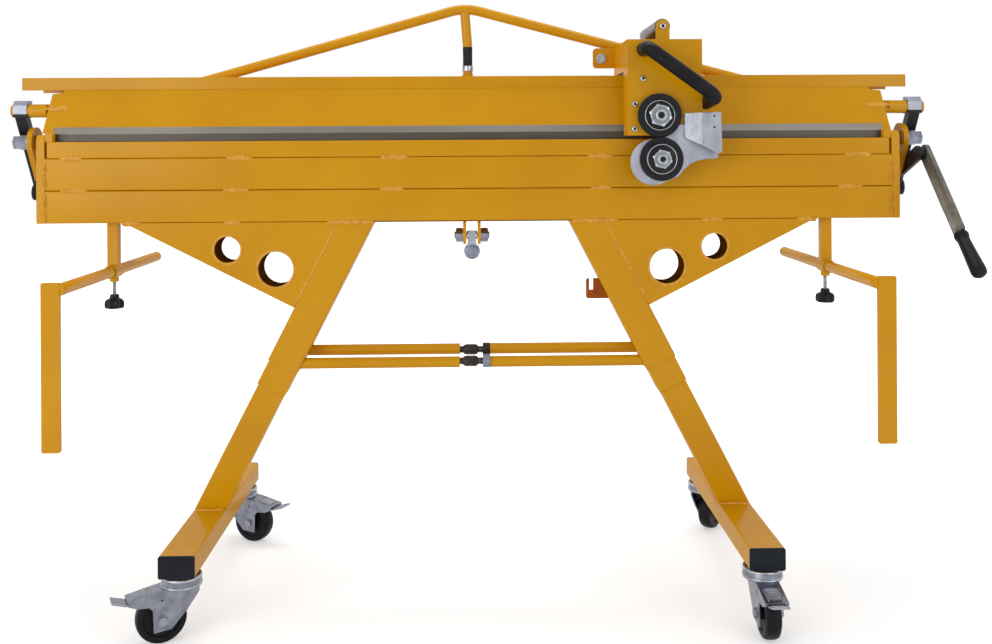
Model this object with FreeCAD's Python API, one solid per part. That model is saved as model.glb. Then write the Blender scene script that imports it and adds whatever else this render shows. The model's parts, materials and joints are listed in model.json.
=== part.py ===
# Roofing sheet bender on casters, built piece by piece in millimetres.
# X runs along the bed, Y away from the viewer, Z up. Shapes are drawn in the bed frame,
# whose zero is the near top edge of the bed at mid length, and moved to the floor on export.
import FreeCAD
import Part
import math
import os

from FreeCAD import Vector

os.makedirs("parts", exist_ok=True)

# Overall sizes
BED_HALF = 1040.0
BED_DEPTH = 80.0
TABLE_HEIGHT = 1102.0
BAR_HEIGHT = 40.0
TUBE_HEIGHT = 80.0
TUBE_WALL = 4.0
FOOT_X = 648.0
FOOT_LENGTH = 700.0
FOOT_START = -300.0
CASTER_HEIGHT = 146.0

# Casters, each drawn with its kingpin at zero and trailing along +X
CASTER_IN = 45.0
CASTER_ANGLES = {"fl": 205.0, "fr": -90.0, "bl": -25.0, "br": 55.0}
TRAIL = 45.0
WHEEL_R = 55.0
PEDAL_X = 96.0
PEDAL_Z = 96.0
PEDAL_TIP = 150.0
PEDAL_HALF = 19.0

# Bed ends and pivot
END_GAP = 6.0
END_PLATE = 20.0
END_DEPTH = BED_DEPTH + 25.0
END_TOP = 18.0
PIVOT_R = 12.0
LUG_IN = 54.0
LUG_THICK = 13.0
LUG_R = 38.0

# Clamp drive
SHAFT_R = 15.0
SHAFT_Y = BED_DEPTH + 106.0
SHAFT_Z = -110.0
CRANK_R = 24.0
CRANK_START = -57.7
STUB_Y = BED_DEPTH - 13.0
STUB_Z = 79.0
STUB_R = 16.5
LINK_WIDTH = 27.0
LINK_DEPTH = 25.0
EYE_SHIFT = 3.5
EYE_HOLE_R = 13.0
LEVER_BEND = (2.0, -40.0)
LEVER_MID = (-188.0, -226.0)
LEVER_TIP = (-285.0, -309.0)
ARM_THICK = 10.0
GRIP_R = 18.0

# Clamp beam, standing a little left of the bed's middle
CLAMP_X = -9.0
CLAMP_GAP = 0.3
WEB_X = -3.5
WEB_HALF = BED_HALF + 18.5
RAIL_HALF = BED_HALF + 80.0
BLADE_Y0 = BED_DEPTH - 50.0
BLADE_TIP_Y = BED_DEPTH - 1.0
BLADE_HEIGHT = 28.0
WEB_TILT = 20.0
WEB_THICK = 8.0
RAIL_Z0 = 131.0
RAIL_Z1 = 162.0
RAIL_Y0 = BED_DEPTH - 10.0
RAIL_Y1 = BED_DEPTH + 132.0
TRUSS_Y = BED_DEPTH + 119.0
TRUSS_R = 13.0
TRUSS_TOP = 352.0
TRUSS_APEX = -16.0
TRUSS_MIDDLE = 6.0
TRUSS_HALF = BED_HALF - 340.0
ADJUSTER_FLATS = 25.0

# Cutter carriage
CUTTER_X = 467.5
CUTTER_LEFT = 89.0
CUTTER_RIGHT = 93.0
CUTTER_Y = -60.0
CUTTER_Z0 = 8.0
CUTTER_Z1 = 241.0
DISC_R = 53.0
UPPER_DISC_Z = DISC_R + 3.0
LOWER_DISC_Z = 3.5 - DISC_R

# Gauges
GAUGE_IN = 152.0
GAUGE_Z = -320.0
GAUGE_Y = 32.5
GAUGE_R = 13.5

# Gusset and leg
GUSSET_IN = 187.0
GUSSET_DROP = 211.0
LEG_TOP_X = 285.5
LEG_SIZE = 80.0
SMALL_HOLE_R = 32.0
LARGE_HOLE_R = 43.0

# Derived positions
END_IN = BED_HALF + END_GAP
END_OUT = END_IN + END_PLATE
BED_BOTTOM = -BAR_HEIGHT - 2.0 * TUBE_HEIGHT
LUG_X0 = BED_HALF + LUG_IN
LUG_X1 = LUG_X0 + LUG_THICK
ROOT_X0 = LUG_X1 + 0.5
ROOT_X1 = ROOT_X0 + 8.0
LINK_X0 = ROOT_X1 + 0.8
LINK_X1 = LINK_X0 + LINK_WIDTH
OUTER_X = LINK_X1 + 6.7
HEAD_X0 = LUG_X1 + 1.0
ARM_X0 = OUTER_X - GRIP_R - ARM_THICK / 2.0
PIVOT_Y = BED_DEPTH
PIVOT_Z = 0.0
GAUGE_X = BED_HALF - GAUGE_IN
FOOT_TOP = CASTER_HEIGHT + 50.0 - TABLE_HEIGHT
FOOT_BOTTOM = CASTER_HEIGHT - TABLE_HEIGHT
FLOOR = -TABLE_HEIGHT
NEAR_REACH = FOOT_START + CASTER_IN - PEDAL_TIP
BACK_ANGLE = math.radians(CASTER_ANGLES["br"])
FAR_REACH = (FOOT_START + FOOT_LENGTH - CASTER_IN + PEDAL_TIP * math.sin(BACK_ANGLE)
             + PEDAL_HALF * math.cos(BACK_ANGLE))
MIDDLE_Y = (NEAR_REACH + FAR_REACH) / 2.0
CRANK_A = math.radians(CRANK_START)
PIN_Y = SHAFT_Y + CRANK_R * math.cos(CRANK_A)
PIN_Z = SHAFT_Z + CRANK_R * math.sin(CRANK_A)
EYE_Y = PIN_Y + EYE_SHIFT * math.cos(CRANK_A + math.pi / 4.0)
EYE_Z = PIN_Z + EYE_SHIFT * math.sin(CRANK_A + math.pi / 4.0)
WEB_LEAN = math.tan(math.radians(WEB_TILT))
ORIGIN = Vector(0.0, -MIDDLE_Y, TABLE_HEIGHT)


# Basic shapes
def box(x0, x1, y0, y1, z0, z1):
    """A block between the given limits."""
    return Part.makeBox(x1 - x0, y1 - y0, z1 - z0, Vector(x0, y0, z0))


def rod(start, end, radius):
    """A round bar between two points."""
    a = Vector(*start)
    b = Vector(*end)
    return Part.makeCylinder(radius, (b - a).Length, a, b - a)


def pipe(start, end, outer, inner):
    """A round tube between two points."""
    return rod(start, end, outer).cut(rod(start, end, inner))


def prism_x(points, x0, x1):
    """Extrudes a (y, z) outline along X."""
    ring = [Vector(x0, y, z) for y, z in points]
    face = Part.Face(Part.makePolygon(ring + ring[:1]))
    return face.extrude(Vector(x1 - x0, 0.0, 0.0))


def prism_y(points, y0, y1):
    """Extrudes an (x, z) outline along Y."""
    ring = [Vector(x, y0, z) for x, z in points]
    face = Part.Face(Part.makePolygon(ring + ring[:1]))
    return face.extrude(Vector(0.0, y1 - y0, 0.0))


def prism_z(points, z0, z1):
    """Extrudes an (x, y) outline along Z."""
    ring = [Vector(x, y, z0) for x, y in points]
    face = Part.Face(Part.makePolygon(ring + ring[:1]))
    return face.extrude(Vector(0.0, 0.0, z1 - z0))


def hexagon(centre, axis, flats, length):
    """A six-sided nut blank standing on its centre point."""
    radius = flats / math.sqrt(3.0)
    ring = []
    for step in range(7):
        angle = math.radians(60.0 * step + 30.0)
        ring.append(Vector(radius * math.cos(angle), radius * math.sin(angle), 0.0))
    nut = Part.Face(Part.makePolygon(ring)).extrude(Vector(0.0, 0.0, length))
    nut.Placement = FreeCAD.Placement(
        Vector(*centre),
        FreeCAD.Rotation(Vector(0.0, 0.0, 1.0), Vector(*axis)),
    )
    return nut


def sweep(points, radius, bend):
    """A round bar of straight runs and ring-shaped bends along a bent line."""
    points = [Vector(*p) for p in points]
    pieces = []
    last = points[0]
    for index in range(1, len(points) - 1):
        corner = points[index]
        back = (points[index - 1] - corner).normalize()
        ahead = (points[index + 1] - corner).normalize()
        half = back.getAngle(ahead) / 2.0
        reach = bend / math.tan(half)
        start = corner + back * reach
        inward = (back + ahead).normalize()
        centre = corner + inward * (bend / math.sin(half))
        disc = Part.Face(Part.Wire([Part.makeCircle(radius, start, back)]))
        pieces.append(Part.makeCylinder(radius, (start - last).Length, last, start - last))
        pieces.append(disc.revolve(centre, (back * -1.0).cross(ahead), 180.0 - 2.0 * math.degrees(half)))
        last = corner + ahead * reach
    pieces.append(Part.makeCylinder(radius, (points[-1] - last).Length, last, points[-1] - last))
    return fuse(pieces)


def inner_part(shape):
    """The solid of a cut shape that lies nearest the middle."""
    return sorted(shape.Solids, key=lambda solid: abs(solid.CenterOfMass.x))[0]


def turned(shape, axis, radius, keep):
    """Rounds the straight edges along an axis whose middle point passes the test."""
    chosen = []
    for edge in shape.Edges:
        if not isinstance(edge.Curve, (Part.Line, Part.LineSegment)):
            continue
        first = edge.Vertexes[0].Point
        second = edge.Vertexes[-1].Point
        line = (second - first).normalize()
        if abs(abs(line.dot(Vector(*axis))) - 1.0) > 1e-6:
            continue
        if keep((first + second) * 0.5):
            chosen.append(edge)
    return shape.makeFillet(radius, chosen)


def fuse(shapes):
    """Joins shapes into one solid and removes the seams between flush faces."""
    result = shapes[0]
    for shape in shapes[1:]:
        result = result.fuse(shape)
    return result.removeSplitter()


def mirrored(shape):
    """The same shape on the other side of the middle."""
    return shape.mirror(Vector(0.0, 0.0, 0.0), Vector(1.0, 0.0, 0.0))


def shifted(shape, x):
    """The same shape moved along X."""
    shape = shape.copy()
    shape.translate(Vector(x, 0.0, 0.0))
    return shape


def pair(shape):
    """A shape on the right with its twin on the left."""
    return Part.makeCompound([shape, mirrored(shape)])


def save(name, shape):
    """Moves a piece from the bed frame to the floor frame and writes it."""
    solids = shape.Solids
    moved = solids[0] if len(solids) == 1 else Part.makeCompound(solids)
    moved = moved.copy()
    moved.translate(ORIGIN)
    moved.exportStep("parts/" + name + ".step")


# Bed
def square_tube(x0, x1, z0, z1):
    """A closed square tube along X with turned long edges."""
    outer = box(x0, x1, 0.0, BED_DEPTH, z0, z1)
    outer = turned(outer, (1, 0, 0), 5.0, lambda p: True)
    wall = TUBE_WALL
    return outer.cut(box(x0, x1, wall, BED_DEPTH - wall, z0 + wall, z1 - wall))


def bed_top_bar():
    """The flat bar that carries the sheet, its far edge square for the bend."""
    bar = box(-BED_HALF, BED_HALF, 0.0, BED_DEPTH, -BAR_HEIGHT, 0.0)
    return turned(bar, (1, 0, 0), 2.0, lambda p: p.y < 1.0)


def end_plate():
    """Right end plate with turned top corners and the pivot stud bore."""
    plate = box(END_IN, END_OUT, 0.0, END_DEPTH, BED_BOTTOM, END_TOP)
    plate = turned(plate, (1, 0, 0), 16.0, lambda p: p.z > 0.0)
    stud = rod((END_IN - 1, PIVOT_Y, 0), (END_OUT + 1, PIVOT_Y, 0), PIVOT_R + 0.1)
    guide = box(END_IN - 18.0, END_IN, 4.0, BLADE_Y0 - 6.0, 0.0, 22.0)
    guide = turned(guide, (0, 1, 0), 4.0, lambda p: p.z > 20.0 and p.x < END_IN - 1)
    return fuse([plate.cut(stud), guide])


def pivot_stud():
    """Right pivot stud with inner head, spacer, washer and two nuts."""
    y = PIVOT_Y
    head = rod((END_IN - 5.5, y, 0), (END_IN, y, 0), 16.0)
    core = rod((END_IN - 5.5, y, 0), (OUTER_X, y, 0), PIVOT_R)
    spacer = rod((END_OUT, y, 0), (LUG_X0 - 0.3, y, 0), 18.0)
    washer = rod((LUG_X1 + 0.3, y, 0), (LUG_X1 + 7.8, y, 0), 21.5)
    start = LUG_X1 + 7.8
    thick = (OUTER_X - start - 0.2) / 2.0
    inner = hexagon((start, y, 0), (1, 0, 0), 36.0, thick)
    outer = hexagon((start + thick + 0.2, y, 0), (1, 0, 0), 32.0, thick)
    return fuse([core, head, spacer, washer, inner, outer])


# Legs and feet
LEG_A = Vector(LEG_TOP_X, BED_DEPTH / 2.0, BED_BOTTOM)
LEG_B = Vector(FOOT_X, BED_DEPTH / 2.0, FOOT_TOP)
LEG_LINE = (LEG_B - LEG_A).normalize()
LEG_OUTWARD = Vector(-LEG_LINE.z, 0.0, LEG_LINE.x)
LEG_LENGTH = (LEG_B - LEG_A).Length


def leg_block(size, start, end, corner):
    """A square bar along the right leg's line between two distances from its top."""
    half = size / 2.0
    block = box(-half, half, -half, half, start, end)
    if corner > 0.0:
        block = turned(block, (0, 0, 1), corner, lambda p: True)
    angle = math.degrees(math.atan2(LEG_LINE.x, LEG_LINE.z))
    block.rotate(Vector(0, 0, 0), Vector(0, 1, 0), angle)
    block.translate(LEG_A)
    return block


def leg_piece(size, inner, start, end, corner):
    """One hollow stage of the right leg, trimmed flush under the bed and on the foot."""
    shape = leg_block(size, start, end, corner)
    shape = shape.cut(leg_block(inner, start - 5.0, end + 5.0, 0.0))
    room = box(-100.0, FOOT_X + 400.0, -200.0, 300.0, FOOT_TOP, BED_BOTTOM)
    return shape.common(room)


SOCKET_END = LEG_LENGTH * 0.504
SLEEVE_END = LEG_LENGTH * 0.586
FACE_SLOPE = LEG_SIZE / 2.0 / LEG_OUTWARD.x


def leg_face_x(z):
    """X of the right leg's outward face at a height."""
    share = (z - BED_BOTTOM) / LEG_LINE.z
    return LEG_TOP_X + LEG_LINE.x * share + FACE_SLOPE


def gusset():
    """Right gusset: a hollow three-cornered box with two tube-lined holes."""
    top = BED_BOTTOM
    low = top - GUSSET_DROP
    corner_a = (BED_HALF - GUSSET_IN, top)
    corner_b = (leg_face_x(top), top)
    corner_c = (leg_face_x(low), low)
    outline = [corner_a, corner_b, corner_c]
    body = prism_y(outline, 0.0, BED_DEPTH)
    wall = 5.0
    slope = math.atan2(corner_a[1] - corner_c[1], corner_a[0] - corner_c[0])
    rise = wall / math.cos(slope)
    run = wall / math.sin(slope)
    inner = [
        (corner_a[0] - run * 4.0, top + 1.0),
        (corner_b[0] - 40.0, top + 1.0),
        (corner_c[0] - 20.0, low + rise - 20.0 * math.tan(slope)),
        (corner_a[0] - run * 4.0, top - run * 4.0 * math.tan(slope) + rise),
    ]
    hollow = prism_y(inner, wall, BED_DEPTH - wall)
    sleeves = []
    bores = []
    for share_a, share_c, radius in ((0.4524, 0.3175, SMALL_HOLE_R), (0.1783, 0.5474, LARGE_HOLE_R)):
        share_b = 1.0 - share_a - share_c
        x = corner_a[0] * share_a + corner_b[0] * share_b + corner_c[0] * share_c
        z = corner_a[1] * share_a + corner_b[1] * share_b + corner_c[1] * share_c
        sleeves.append(rod((x, 0, z), (x, BED_DEPTH, z), radius + 4.0))
        bores.append(rod((x, -5, z), (x, BED_DEPTH + 5, z), radius))
    shape = fuse([body.cut(hollow)] + sleeves)
    for bore in bores:
        shape = shape.cut(bore)
    return shape


def foot_bar():
    """Right foot: a rectangular tube with turned long edges."""
    half = 40.0
    y0 = FOOT_START + 4.0
    y1 = FOOT_START + FOOT_LENGTH - 4.0
    outer = box(FOOT_X - half, FOOT_X + half, y0, y1, FOOT_BOTTOM, FOOT_TOP)
    outer = turned(outer, (0, 1, 0), 5.0, lambda p: True)
    wall = 3.0
    hollow = box(FOOT_X - half + wall, FOOT_X + half - wall, y0, y1,
                 FOOT_BOTTOM + wall, FOOT_TOP - wall)
    return outer.cut(hollow)


def foot_cap(front):
    """A plastic cap that plugs one end of the right foot."""
    near = FOOT_START if front else FOOT_START + FOOT_LENGTH
    step = 1.0 if front else -1.0
    y = sorted([near, near + 4.0 * step])
    plate = box(FOOT_X - 40.0, FOOT_X + 40.0, y[0], y[1], FOOT_BOTTOM, FOOT_TOP)
    plate = turned(plate, (0, 1, 0), 5.0, lambda p: True)
    y = sorted([near + 4.0 * step, near + 24.0 * step])
    plug = box(FOOT_X - 37.0, FOOT_X + 37.0, y[0], y[1], FOOT_BOTTOM + 3.0, FOOT_TOP - 3.0)
    y = sorted([near + 5.0 * step, near + 25.0 * step])
    plug = plug.cut(box(FOOT_X - 33.0, FOOT_X + 33.0, y[0], y[1], FOOT_BOTTOM + 7.0, FOOT_TOP - 7.0))
    return fuse([plate, plug])


# Tie rods
ROD_LOW = BED_BOTTOM + LEG_LINE.z * SOCKET_END + 4.8
ROD_SPOTS = ((18.0, ROD_LOW), (64.0, ROD_LOW + 24.0))


def tie_rods():
    """Two round rods coped to the inner leg faces, parted where the screws join them."""
    envelope = leg_block(LEG_SIZE, 0.0, LEG_LENGTH, 0.0)
    pieces = []
    for y, z in ROD_SPOTS:
        right = rod((44.0, y, z), (FOOT_X, y, z), 13.5).cut(envelope)
        left = rod((32.0, y, z), (FOOT_X, y, z), 13.5).cut(envelope)
        pieces.append(inner_part(right))
        pieces.append(mirrored(inner_part(left)))
    return Part.makeCompound(pieces)


def tie_rod_screws():
    """Black stud, sleeve, screw and nut that join the two halves of each rod."""
    pieces = []
    for y, z in ROD_SPOTS:
        core = rod((-32.0, y, z), (44.0, y, z), 9.0)
        sleeve = rod((-18.0, y, z), (10.0, y, z), 13.0)
        nut = hexagon((26.0, y, z), (1, 0, 0), 32.0, 18.0)
        pieces.append(fuse([core, sleeve, nut]))
    return Part.makeCompound(pieces)


# Shaft hangers under the back of the bed
def hanger(x):
    """A plate standing off the lower tube with a bored head round the cross shaft."""
    low = BED_BOTTOM + 8.0
    arm = prism_x(
        [(BED_DEPTH, low), (BED_DEPTH, low + 50.0), (SHAFT_Y - 24.0, low + 52.0),
         (SHAFT_Y - 24.0, SHAFT_Z), (SHAFT_Y + 24.0, SHAFT_Z), (SHAFT_Y + 14.0, low + 20.0),
         (SHAFT_Y - 30.0, low)],
        x - 6.0, x + 6.0)
    head = rod((x - 6.0, SHAFT_Y, SHAFT_Z), (x + 6.0, SHAFT_Y, SHAFT_Z), 24.0)
    bore = rod((x - 20.0, SHAFT_Y, SHAFT_Z), (x + 20.0, SHAFT_Y, SHAFT_Z), SHAFT_R + 0.06)
    return fuse([arm, head]).cut(bore)


# Gauges
def gauge_post():
    """Right gauge post with round sleeve and the threaded boss under it."""
    half = 13.0
    post = box(GAUGE_X - half, GAUGE_X + half, GAUGE_Y - half, GAUGE_Y + half,
               GAUGE_Z + 10.0, BED_BOTTOM)
    start = (GAUGE_X, GAUGE_Y - 30.0, GAUGE_Z)
    end = (GAUGE_X, GAUGE_Y + 30.0, GAUGE_Z)
    sleeve = rod(start, end, 17.0)
    boss = rod((GAUGE_X, GAUGE_Y, GAUGE_Z), (GAUGE_X, GAUGE_Y, GAUGE_Z - 26.0), 11.0)
    shape = fuse([post, sleeve, boss])
    screw = rod((GAUGE_X, GAUGE_Y, GAUGE_Z), (GAUGE_X, GAUGE_Y, GAUGE_Z - 40.0), 5.06)
    return shape.cut(rod(start, end, GAUGE_R + 0.08)).cut(screw)


def gauge_arm():
    """Right sliding arm: a round tube with the upright bar on its near end."""
    y0 = -317.0
    y1 = 386.0
    tube = pipe((GAUGE_X, y0, GAUGE_Z), (GAUGE_X, y1, GAUGE_Z), GAUGE_R, GAUGE_R - 3.0)
    middle = GAUGE_X + 19.0
    bar = box(middle - 20.0, middle + 20.0, y0 - 10.0, y0, GAUGE_Z - 351.0, GAUGE_Z + 15.0)
    bar = turned(bar, (0, 1, 0), 4.0, lambda p: True)
    cap = rod((GAUGE_X, y1, GAUGE_Z), (GAUGE_X, y1 + 3.0, GAUGE_Z), GAUGE_R)
    return fuse([tube, bar, cap])


def gauge_knob():
    """Right star knob with its clamping screw."""
    top = GAUGE_Z - 66.0
    low = top - 27.0
    knob = rod((GAUGE_X, GAUGE_Y, low), (GAUGE_X, GAUGE_Y, top), 23.5)
    for step in range(7):
        angle = 2.0 * math.pi * step / 7.0
        x = GAUGE_X + 26.0 * math.cos(angle)
        y = GAUGE_Y + 26.0 * math.sin(angle)
        knob = knob.cut(rod((x, y, low - 1.0), (x, y, top + 1.0), 7.0))
    collar = rod((GAUGE_X, GAUGE_Y, top), (GAUGE_X, GAUGE_Y, top + 8.0), 11.0)
    screw = rod((GAUGE_X, GAUGE_Y, low + 5.0), (GAUGE_X, GAUGE_Y, GAUGE_Z - GAUGE_R - 0.3), 5.0)
    return fuse([knob, collar, screw])


# Under the bed
def centre_clevis():
    """Two ears under the bed with the cross bolt that carries the hanging eye."""
    z = BED_BOTTOM - 38.0
    ears = []
    for x in (-18.0, 18.0):
        ear = box(x - 4.0, x + 4.0, 20.0, 60.0, BED_BOTTOM - 60.0, BED_BOTTOM)
        ear = turned(ear, (1, 0, 0), 14.0, lambda p: p.z < BED_BOTTOM - 50.0)
        ears.append(ear)
    bolt = rod((-44.0, 40.0, z), (44.0, 40.0, z), 6.0)
    head = hexagon((-30.0, 40.0, z), (1, 0, 0), 19.0, 8.0)
    nut = hexagon((22.0, 40.0, z), (1, 0, 0), 19.0, 10.0)
    return fuse(ears + [bolt, head.copy(), nut])


def hanging_eye():
    """A ring that swings on the clevis bolt."""
    z = BED_BOTTOM - 38.0
    barrel = rod((-13.0, 40.0, z), (13.0, 40.0, z), 11.0)
    neck = box(-7.0, 7.0, 36.0, 44.0, z - 30.0, z)
    ring = rod((0.0, 36.0, z - 40.0), (0.0, 44.0, z - 40.0), 20.0)
    shape = fuse([barrel, neck, ring])
    hole = rod((0.0, 30.0, z - 42.0), (0.0, 50.0, z - 42.0), 9.0)
    return shape.cut(hole).cut(rod((-20.0, 40.0, z), (20.0, 40.0, z), 6.06))


def leg_hook():
    """A flat bracket welded to the inner face of the right leg, with a hook notch."""
    low = BED_BOTTOM - 202.0
    x1 = leg_face_x(low + 25.0) - 2.0 * FACE_SLOPE + 30.0
    plate = box(x1 - 74.0, x1, 56.0, 62.0, low, low + 51.0)
    envelope = leg_block(LEG_SIZE, 0.0, LEG_LENGTH, 0.0)
    plate = plate.cut(envelope).Solids[0]
    plate = turned(plate, (0, 1, 0), 6.0, lambda p: p.x < x1 - 70.0)
    notch = box(x1 - 66.0, x1 - 56.0, 50.0, 70.0, low + 22.0, low + 60.0)
    return plate.cut(notch)


# Caster pieces
CASTER_Y = {"f": FOOT_START + CASTER_IN, "b": FOOT_START + FOOT_LENGTH - CASTER_IN}
CASTER_SIDE = {"l": -FOOT_X, "r": FOOT_X}
CROWN_Z0 = CASTER_HEIGHT - 28.0
CROWN_Z1 = CASTER_HEIGHT - 6.3
RACE_Z = CASTER_HEIGHT - 16.0


def caster_plate():
    """Fixed race disc under the foot with the kingpin and its head."""
    race = rod((0, 0, RACE_Z), (0, 0, CASTER_HEIGHT), 34.0)
    pin = rod((0, 0, CROWN_Z0 - 6.0), (0, 0, RACE_Z), 6.0)
    head = rod((0, 0, CROWN_Z0 - 6.0), (0, 0, CROWN_Z0 - 0.3), 10.0)
    return fuse([race, pin, head])


def caster_fork():
    """Crown round the race disc, pressed top and side plates, axle bolt and pedal pin."""
    crown = rod((0, 0, CROWN_Z0), (0, 0, CROWN_Z1), 44.0)
    crown = crown.cut(rod((0, 0, RACE_Z - 0.3), (0, 0, CASTER_HEIGHT), 36.0))
    side = [
        (-34.0, 121.0), (-34.0, 108.0), (-26.0, 96.0), (-8.0, 71.0), (26.0, 34.0), (64.0, 31.0),
        (66.0, 80.0), (73.0, 88.0), (98.0, 90.0), (117.0, 98.0), (118.0, 106.0), (62.0, 117.0),
        (34.0, 121.0),
    ]
    top = [
        (-34.0, 121.0), (34.0, 121.0), (62.0, 117.0), (118.0, 106.0), (118.0, 103.0),
        (62.0, 114.0), (34.0, 118.0), (-34.0, 118.0),
    ]
    window = box(78.0, 104.0, -12.0, 12.0, 100.0, 120.0)
    pieces = [crown, prism_y(side, 22.0, 26.0), prism_y(side, -26.0, -22.0)]
    pieces.append(prism_y(top, -26.0, 26.0).cut(window))
    pieces.append(rod((TRAIL, -30.0, WHEEL_R), (TRAIL, 30.0, WHEEL_R), 6.0))
    pieces.append(hexagon((TRAIL, 26.0, WHEEL_R), (0, 1, 0), 18.0, 6.0))
    pieces.append(hexagon((TRAIL, -32.0, WHEEL_R), (0, 1, 0), 18.0, 6.0))
    pieces.append(rod((PEDAL_X, -24.0, PEDAL_Z), (PEDAL_X, 24.0, PEDAL_Z), 3.0))
    return fuse(pieces).cut(rod((0, 0, 90.0), (0, 0, 150.0), 6.07))


def caster_wheel():
    """Wheel with a rounded tread, a hub and a running bore."""
    tread = rod((TRAIL, -18.0, WHEEL_R), (TRAIL, 18.0, WHEEL_R), WHEEL_R)
    edges = [e for e in tread.Edges if isinstance(e.Curve, Part.Circle)]
    tread = tread.makeChamfer(4.0, edges)
    hub = rod((TRAIL, -21.5, WHEEL_R), (TRAIL, 21.5, WHEEL_R), 14.0)
    for y in (-1.0, 1.0):
        start = (TRAIL, 12.0 * y, WHEEL_R)
        end = (TRAIL, 19.0 * y, WHEEL_R)
        tread = tread.cut(pipe(start, end, 40.0, 14.0))
    bore = rod((TRAIL, -30.0, WHEEL_R), (TRAIL, 30.0, WHEEL_R), 6.07)
    return fuse([tread, hub]).cut(bore)


def caster_pedal():
    """Brake pedal with a rising tip on a barrel round its pin."""
    barrel = rod((PEDAL_X, -21.0, PEDAL_Z), (PEDAL_X, 21.0, PEDAL_Z), 5.5)
    low = PEDAL_Z + 0.5
    tread = prism_y([(PEDAL_X, low), (120.0, low), (PEDAL_TIP, low + 9.5), (PEDAL_TIP, low + 14.0),
                     (119.0, low + 4.5), (PEDAL_X, low + 4.5)], -PEDAL_HALF, PEDAL_HALF)
    shape = fuse([barrel, tread])
    return shape.cut(rod((PEDAL_X, -30.0, PEDAL_Z), (PEDAL_X, 30.0, PEDAL_Z), 3.07))


def at_caster(shape, key):
    """Turns a caster piece to its trail direction and puts it under its foot."""
    shape = shape.copy()
    shape.rotate(Vector(0, 0, 0), Vector(0, 0, 1), CASTER_ANGLES[key])
    shape.translate(Vector(CASTER_SIDE[key[1]], CASTER_Y[key[0]], FLOOR))
    return shape


# Clamp drive pieces
def crank_pin():
    """Right crank pin with the washer that hides the link eye."""
    pin = rod((ROOT_X0 + 1.0, PIN_Y, PIN_Z), (OUTER_X, PIN_Y, PIN_Z), 9.0)
    washer = rod((LINK_X1 + 0.4, PIN_Y, PIN_Z), (OUTER_X, PIN_Y, PIN_Z), 21.0)
    return [pin, washer]


def crank_plate():
    """Right-hand crank web between the shaft and the crank pin."""
    ends = [rod((ROOT_X0, SHAFT_Y, SHAFT_Z), (ROOT_X1, SHAFT_Y, SHAFT_Z), 19.0),
            rod((ROOT_X0, PIN_Y, PIN_Z), (ROOT_X1, PIN_Y, PIN_Z), 16.0)]
    side = Vector(0.0, -math.sin(CRANK_A), math.cos(CRANK_A))
    ring = []
    for y, z, reach in ((SHAFT_Y, SHAFT_Z, 19.0), (PIN_Y, PIN_Z, 16.0)):
        ring.append((y + side.y * reach, z + side.z * reach, y - side.y * reach, z - side.z * reach))
    a, b = ring
    web = prism_x([(a[0], a[1]), (b[0], b[1]), (b[2], b[3]), (a[2], a[3])], ROOT_X0, ROOT_X1)
    return fuse(ends + [web] + crank_pin())


def flat_arm(start, end, width, x0, x1):
    """A flat bar in the YZ plane from one point to another."""
    dy = end[0] - start[0]
    dz = end[1] - start[1]
    length = math.hypot(dy, dz)
    ny = -dz / length * width / 2.0
    nz = dy / length * width / 2.0
    points = [(start[0] + ny, start[1] + nz), (end[0] + ny, end[1] + nz),
              (end[0] - ny, end[1] - nz), (start[0] - ny, start[1] - nz)]
    return prism_x(points, x0, x1)


def lever_root():
    """Black root plate with the right crank pin and the round boss that carries the arm."""
    y, z = LEVER_BEND
    plate = flat_arm((SHAFT_Y, SHAFT_Z), LEVER_BEND, 38.0, ROOT_X0, ROOT_X1)
    bend = rod((ROOT_X0, y, z), (ROOT_X1, y, z), 19.0)
    boss = rod((ROOT_X0, y, z), (ARM_X0, y, z), 17.0)
    return fuse([crank_plate(), plate, bend, boss])


def lever_arm():
    """Flat lever arm on the boss's outer end, with a round tang for the grip."""
    y, z = LEVER_BEND
    arm = flat_arm(LEVER_BEND, LEVER_MID, 44.0, ARM_X0, ARM_X0 + ARM_THICK)
    end = rod((ARM_X0, y, z), (ARM_X0 + ARM_THICK, y, z), 22.0)
    x = ARM_X0 + ARM_THICK / 2.0
    share = 0.97
    tip = (LEVER_MID[0] + (LEVER_TIP[0] - LEVER_MID[0]) * share,
           LEVER_MID[1] + (LEVER_TIP[1] - LEVER_MID[1]) * share)
    tang = rod((x, LEVER_MID[0] + 12.0, LEVER_MID[1] + 9.5), (x, tip[0], tip[1]), 8.0)
    return fuse([arm, end, tang])


def lever_grip():
    """Rubber grip over the tang."""
    x = ARM_X0 + ARM_THICK / 2.0
    start = (x, LEVER_MID[0], LEVER_MID[1])
    end = (x, LEVER_TIP[0], LEVER_TIP[1])
    grip = rod(start, end, GRIP_R)
    edges = [e for e in grip.Edges if isinstance(e.Curve, Part.Circle)]
    grip = grip.makeChamfer(3.0, edges)
    return grip.cut(lever_arm())


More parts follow.
